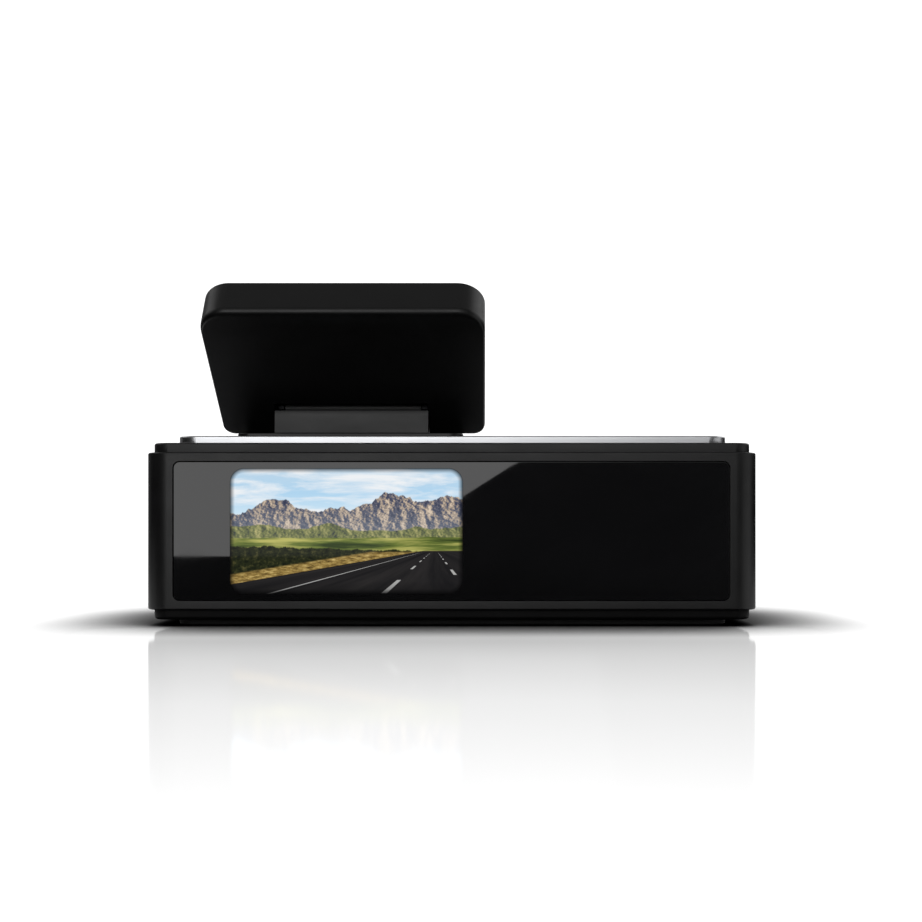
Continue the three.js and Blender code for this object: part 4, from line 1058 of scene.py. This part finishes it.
def make_inlet():
    """The power inlet: a folded metal shell around a tongue with contacts."""
    low, high, middle = span("power_inlet")
    depth = high.x - low.x
    shell = as_object("inlet_shell", sideways(
        high.y - low.y, high.z - low.z, (high.y - low.y) / 2 - HAIR, low.x, high.x, middle,
        steps=14))
    cut(shell, [sideways(
        high.y - low.y - 0.6 * MM, high.z - low.z - 0.6 * MM, (high.y - low.y) / 2 - 0.3 * MM - HAIR,
        low.x - MM, high.x - 0.8 * MM, middle, steps=14)])
    complete(shell, STAMPED, "power_inlet", edge=0.05 * MM, edge_angle=50)
    tongue = as_object("inlet_tongue", sideways(
        0.7 * MM, 6.6 * MM, 0.2 * MM, low.x + 0.8 * MM, high.x - 0.75 * MM, middle, 0.15 * MM))
    complete(tongue, CHIP)
    corners = []
    for side in (-1, 1):
        for index in range(12):
            z = middle.z + (index - 5.5) * 0.5 * MM
            face = middle.y + side * 0.35 * MM
            corners.append(((low.x + 1.1 * MM, face - 0.03 * MM, z - 0.13 * MM),
                            (low.x + depth * 0.6, face + 0.03 * MM, z + 0.13 * MM)))
    pads = contact_row("inlet_contacts", corners)
    complete(pads, GOLD)


def make_card():
    """The memory card: a thin plastic card with a notch, a grip ridge and contacts."""
    low, high, middle = span("memory_card")
    width = high.z - low.z
    card = as_object("card_body", facing(
        high.x - low.x, width, 0.6 * MM, low.y + 0.15 * MM, high.y - 0.1 * MM, middle,
        0.08 * MM, 0.08 * MM, 6))
    notch = facing(3.2 * MM, 1.2 * MM, 0.3 * MM, low.y - MM, high.y + MM,
                   (high.x - 6.6 * MM, 0, high.z), steps=4)
    cut(card, [notch])
    ridge = facing(1.4 * MM, width - 1 * MM, 0.35 * MM, low.y + 0.2 * MM, high.y,
                   (high.x - 0.9 * MM, 0, middle.z), 0.0, 0.12 * MM, 5)
    cut(card, [ridge], "UNION")
    complete(card, CHIP, "memory_card", body="memory_card", edge=0.04 * MM, edge_angle=45)
    corners = []
    for index in range(8):
        z = middle.z + (index - 3.5) * 1.1 * MM
        corners.append(((low.x + 0.7 * MM, low.y + 0.12 * MM, z - 0.38 * MM),
                        (low.x + 3.6 * MM, low.y + 0.19 * MM, z + 0.38 * MM)))
    pads = contact_row("card_contacts", corners)
    complete(pads, GOLD, body="memory_card")


def make_light_pipe():
    """A clear rod with a domed end."""
    low, high, middle = span("status_light_pipe")
    radius = (high.y - low.y) / 2
    profile = [(0, 0), (radius, 0), (radius, high.x - low.x - 0.2 * MM)]
    profile += [(radius * math.cos(a), high.x - low.x - 0.2 * MM + 0.2 * MM * math.sin(a))
                for a in (math.pi / 2 * step / 6 for step in range(1, 7))]
    mesh = turned(profile, 40, closed=False)
    turn = Matrix.Translation((low.x, middle.y, middle.z)) @ Matrix.Rotation(math.radians(-90), 4, "Z")
    rod = as_object("status_light_window", moved(mesh, turn))
    g = Graph("light_clear")
    cloud = g.noise(900, 3)
    g.set(Base_Color=g.ramp(cloud, [(0.3, (0.20, 0.23, 0.24)), (0.7, (0.28, 0.32, 0.33))]))
    g.set(Roughness=g.remap(cloud, 0.3, 0.7, 0.12, 0.22), IOR=1.49)
    complete(rod, g.material, "status_light_pipe", smooth_angle=40)


# ---------------- mount

PLATE_WIDTH = 39.8 * MM
PLATE_HEIGHT = 25.5 * MM
PLATE_THICKNESS = 6 * MM
PLATE_FRONT = -2.7 * MM
PLATE_BOTTOM = -2.9 * MM
RECESS_DEPTH = 1.4 * MM
NOTCH_TOP = 4 * MM
PLATE_RADIUS = 4 * MM
PLATE_LOW_RADIUS = 1.7 * MM
SIDE_FILLET_SHARE = 0.3
LOW_FILLET_SHARE = 0.2
BLOCK_HALF = 11.42 * MM
KNUCKLE_HALF = 10.2 * MM


def make_foot():
    """The mount foot: flange, T-shaped rail, hinge block and knuckle in one moulding."""
    middle = span("mount_foot")[2]
    flange_bottom = span("top_trim_plate")[1].z + 0.1 * MM
    flange_top = flange_bottom + 0.8 * MM
    base_top = HOUSING_HIGH.z
    made = as_object("foot_moulding", level_slab(
        "mount_foot", 2 * MM, flange_bottom, flange_top, 0.0, 0.22 * MM, 14, 6))
    rail = box_mesh((middle.x - RAIL_HALF, RAIL_FRONT, base_top + 0.25 * MM),
                    (middle.x + RAIL_HALF, RAIL_BACK, base_top + 1.05 * MM))
    neck = box_mesh((middle.x - RAIL_NECK_HALF, RAIL_FRONT, base_top + 0.5 * MM),
                    (middle.x + RAIL_NECK_HALF, RAIL_BACK, flange_bottom + 0.2 * MM))
    block_top = flange_top + 3.5 * MM
    front, back = -5 * MM, 1.1 * MM
    outline = [
        (front, flange_top - 0.3 * MM), (back, flange_top - 0.3 * MM), (back, HINGE.z - MM),
        (HINGE.y, HINGE.z - MM), (front + 0.6 * MM, block_top + 0.05 * MM),
        (front + 0.2 * MM, block_top), (front, block_top - 0.75 * MM),
    ]
    sides = (middle.x - BLOCK_HALF, middle.x + BLOCK_HALF)
    hinge_block = loft([[(x, y, z) for y, z in outline] for x in sides])
    knuckle = round_hole("x", 1.9 * MM, middle.x - KNUCKLE_HALF, middle.x + KNUCKLE_HALF, *HINGE)
    for part in (neck, rail, hinge_block, knuckle):
        cut(made, [part], "UNION")
    washer_seats = [
        round_hole("x", 2.2 * MM, *sorted((middle.x + end * KNUCKLE_HALF, middle.x + end * 13 * MM)),
                   *HINGE)
        for end in (-1, 1)
    ]
    bore = round_hole("x", 1.4 * MM, middle.x - 20 * MM, middle.x + 20 * MM, *HINGE, 40)
    cut(made, washer_seats + [bore])
    complete(made, MOUNT, "mount_foot", body="mount_foot", edge=0.06 * MM, edge_angle=30)


def plate_slab(margin, front, back, front_fillet=0.0, back_fillet=0.0):
    """A piece of the mount plate, built upright with the hinge axis at the origin.

    The front fillet is full along the upper edge and smaller along the sides and below.
    """
    rings = []
    for level, inset in fillet_levels(front, back, front_fillet, back_fillet, 8):
        side, below = inset * SIDE_FILLET_SHARE, inset * LOW_FILLET_SHARE
        width = PLATE_WIDTH - 2 * (margin + side)
        height = PLATE_HEIGHT - 2 * margin - inset - below
        outline = arc_outline(
            width, height, PLATE_RADIUS - margin - inset * 0.6, 16,
            (0, PLATE_BOTTOM + PLATE_HEIGHT / 2 + (below - inset) / 2),
            max(PLATE_LOW_RADIUS - margin, 0.5 * MM) - below * 0.5,
        )
        rings.append([(x, y, level) for x, y in outline])
    return moved(loft(rings), FRONT_FACING)


def make_plate():
    """The leaning plate with its back cover and adhesive pad, and the hinge pin."""
    back = PLATE_FRONT + PLATE_THICKNESS
    shell = as_object("plate_shell", plate_slab(0, PLATE_FRONT, back, 1.0 * MM, 0.3 * MM))
    recess = plate_slab(1.8 * MM, back - RECESS_DEPTH, back + MM)
    half = BLOCK_HALF + 0.03 * MM
    notch = box_mesh((-half, PLATE_FRONT - MM, PLATE_BOTTOM - MM), (half, back + MM, NOTCH_TOP))
    groove = box_mesh((-16.3 * MM, -1.5 * MM, -1.5 * MM), (16.3 * MM, back, 1.5 * MM))
    cut(shell, [recess, notch, groove])
    soften(shell, 0.05 * MM, 50)
    shade(shell)
    cover = as_object("plate_back_cover", plate_slab(
        1.95 * MM, back - RECESS_DEPTH + 0.15 * MM, back - 0.3 * MM, 0.0, 0.15 * MM))
    shade(cover)
    pad_low = back - 0.3 * MM
    pad = as_object("adhesive_pad_sheet", plate_slab(
        2.1 * MM, pad_low + 0.01 * MM, back + 0.8 * MM, 0.05 * MM, 0.12 * MM))
    shade(pad)
    pin = as_object("hinge_pin_rod", round_hole("x", 1.2 * MM, -16 * MM, 16 * MM, 0, 0, 0, 48))
    soften(pin, 0.2 * MM, 50, 3)
    shade(pin)
    pieces = [
        (shell, "mount_plastic", MOUNT, "mount_plate"),
        (cover, "mount_plastic", COVER, "mount_plate_cover"),
        (pad, "adhesive_foam", FOAM, "adhesive_pad"),
        (pin, "screw_steel", BLACKENED, "hinge_pin"),
    ]
    for made, slot_name, material, node in pieces:
        made.data.transform(PLATE_FRAME)
        finish_piece(made, "mount_plate", material, [node])


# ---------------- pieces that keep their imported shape

def dress_inner_parts():
    """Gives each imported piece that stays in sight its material."""
    sleeve = plain_detail("capacitor_sleeve", (0.010, 0.022, 0.070), (0.018, 0.038, 0.110), (0.25, 0.4))
    finishes = {
        BOARD: ["main_board", "sensor_board", "power_switch_board", "record_switch_board",
                "wireless_antenna"],
        CHIP: ["processor", "speaker", "image_sensor"],
        STAMPED: ["display_bracket", "card_socket", "power_switch", "record_switch", "microphone"],
        STEEL: [f"{side}_screw_{index}" for side in ("top", "bottom") for index in (1, 2, 3, 4)],
        BLACKENED: ["friction_washer_1", "friction_washer_2"],
        FILM: ["display_ribbon", "sensor_ribbon"],
        FOAM: ["glass_adhesive"],
        HOOD: ["lens_holder"],
        plain_detail("display_edge", (0.02, 0.02, 0.022), (0.05, 0.05, 0.055), (0.3, 0.45)):
            ["display_module"],
        plain_detail("thermal_silicone", (0.25, 0.31, 0.38), (0.34, 0.41, 0.50), (0.6, 0.8)):
            ["thermal_pad"],
        plain_detail("sink_aluminium", (0.55, 0.56, 0.58), (0.72, 0.73, 0.75), (0.3, 0.45), 1.0):
            ["heat_sink"],
        sleeve: ["supercapacitor_1", "supercapacitor_2"],
        plain_detail("antenna_ceramic", (0.50, 0.46, 0.35), (0.66, 0.62, 0.50), (0.5, 0.7)):
            ["satellite_antenna"],
        plain_detail("light_lens", (0.5, 0.6, 0.62), (0.7, 0.8, 0.82), (0.15, 0.3)): ["status_light"],
        lens_coated("rear_coating", 350.0): ["rear_lens"],
    }
    for material, nodes in finishes.items():
        for node in nodes:
            data = frame["nodes"][node].data
            data.materials.clear()
            data.materials.append(material)


make_housing()
make_glass()
make_covers()
make_lens()
make_buttons()
make_inlet()
make_card()
make_light_pipe()
make_foot()
make_plate()
dress_inner_parts()
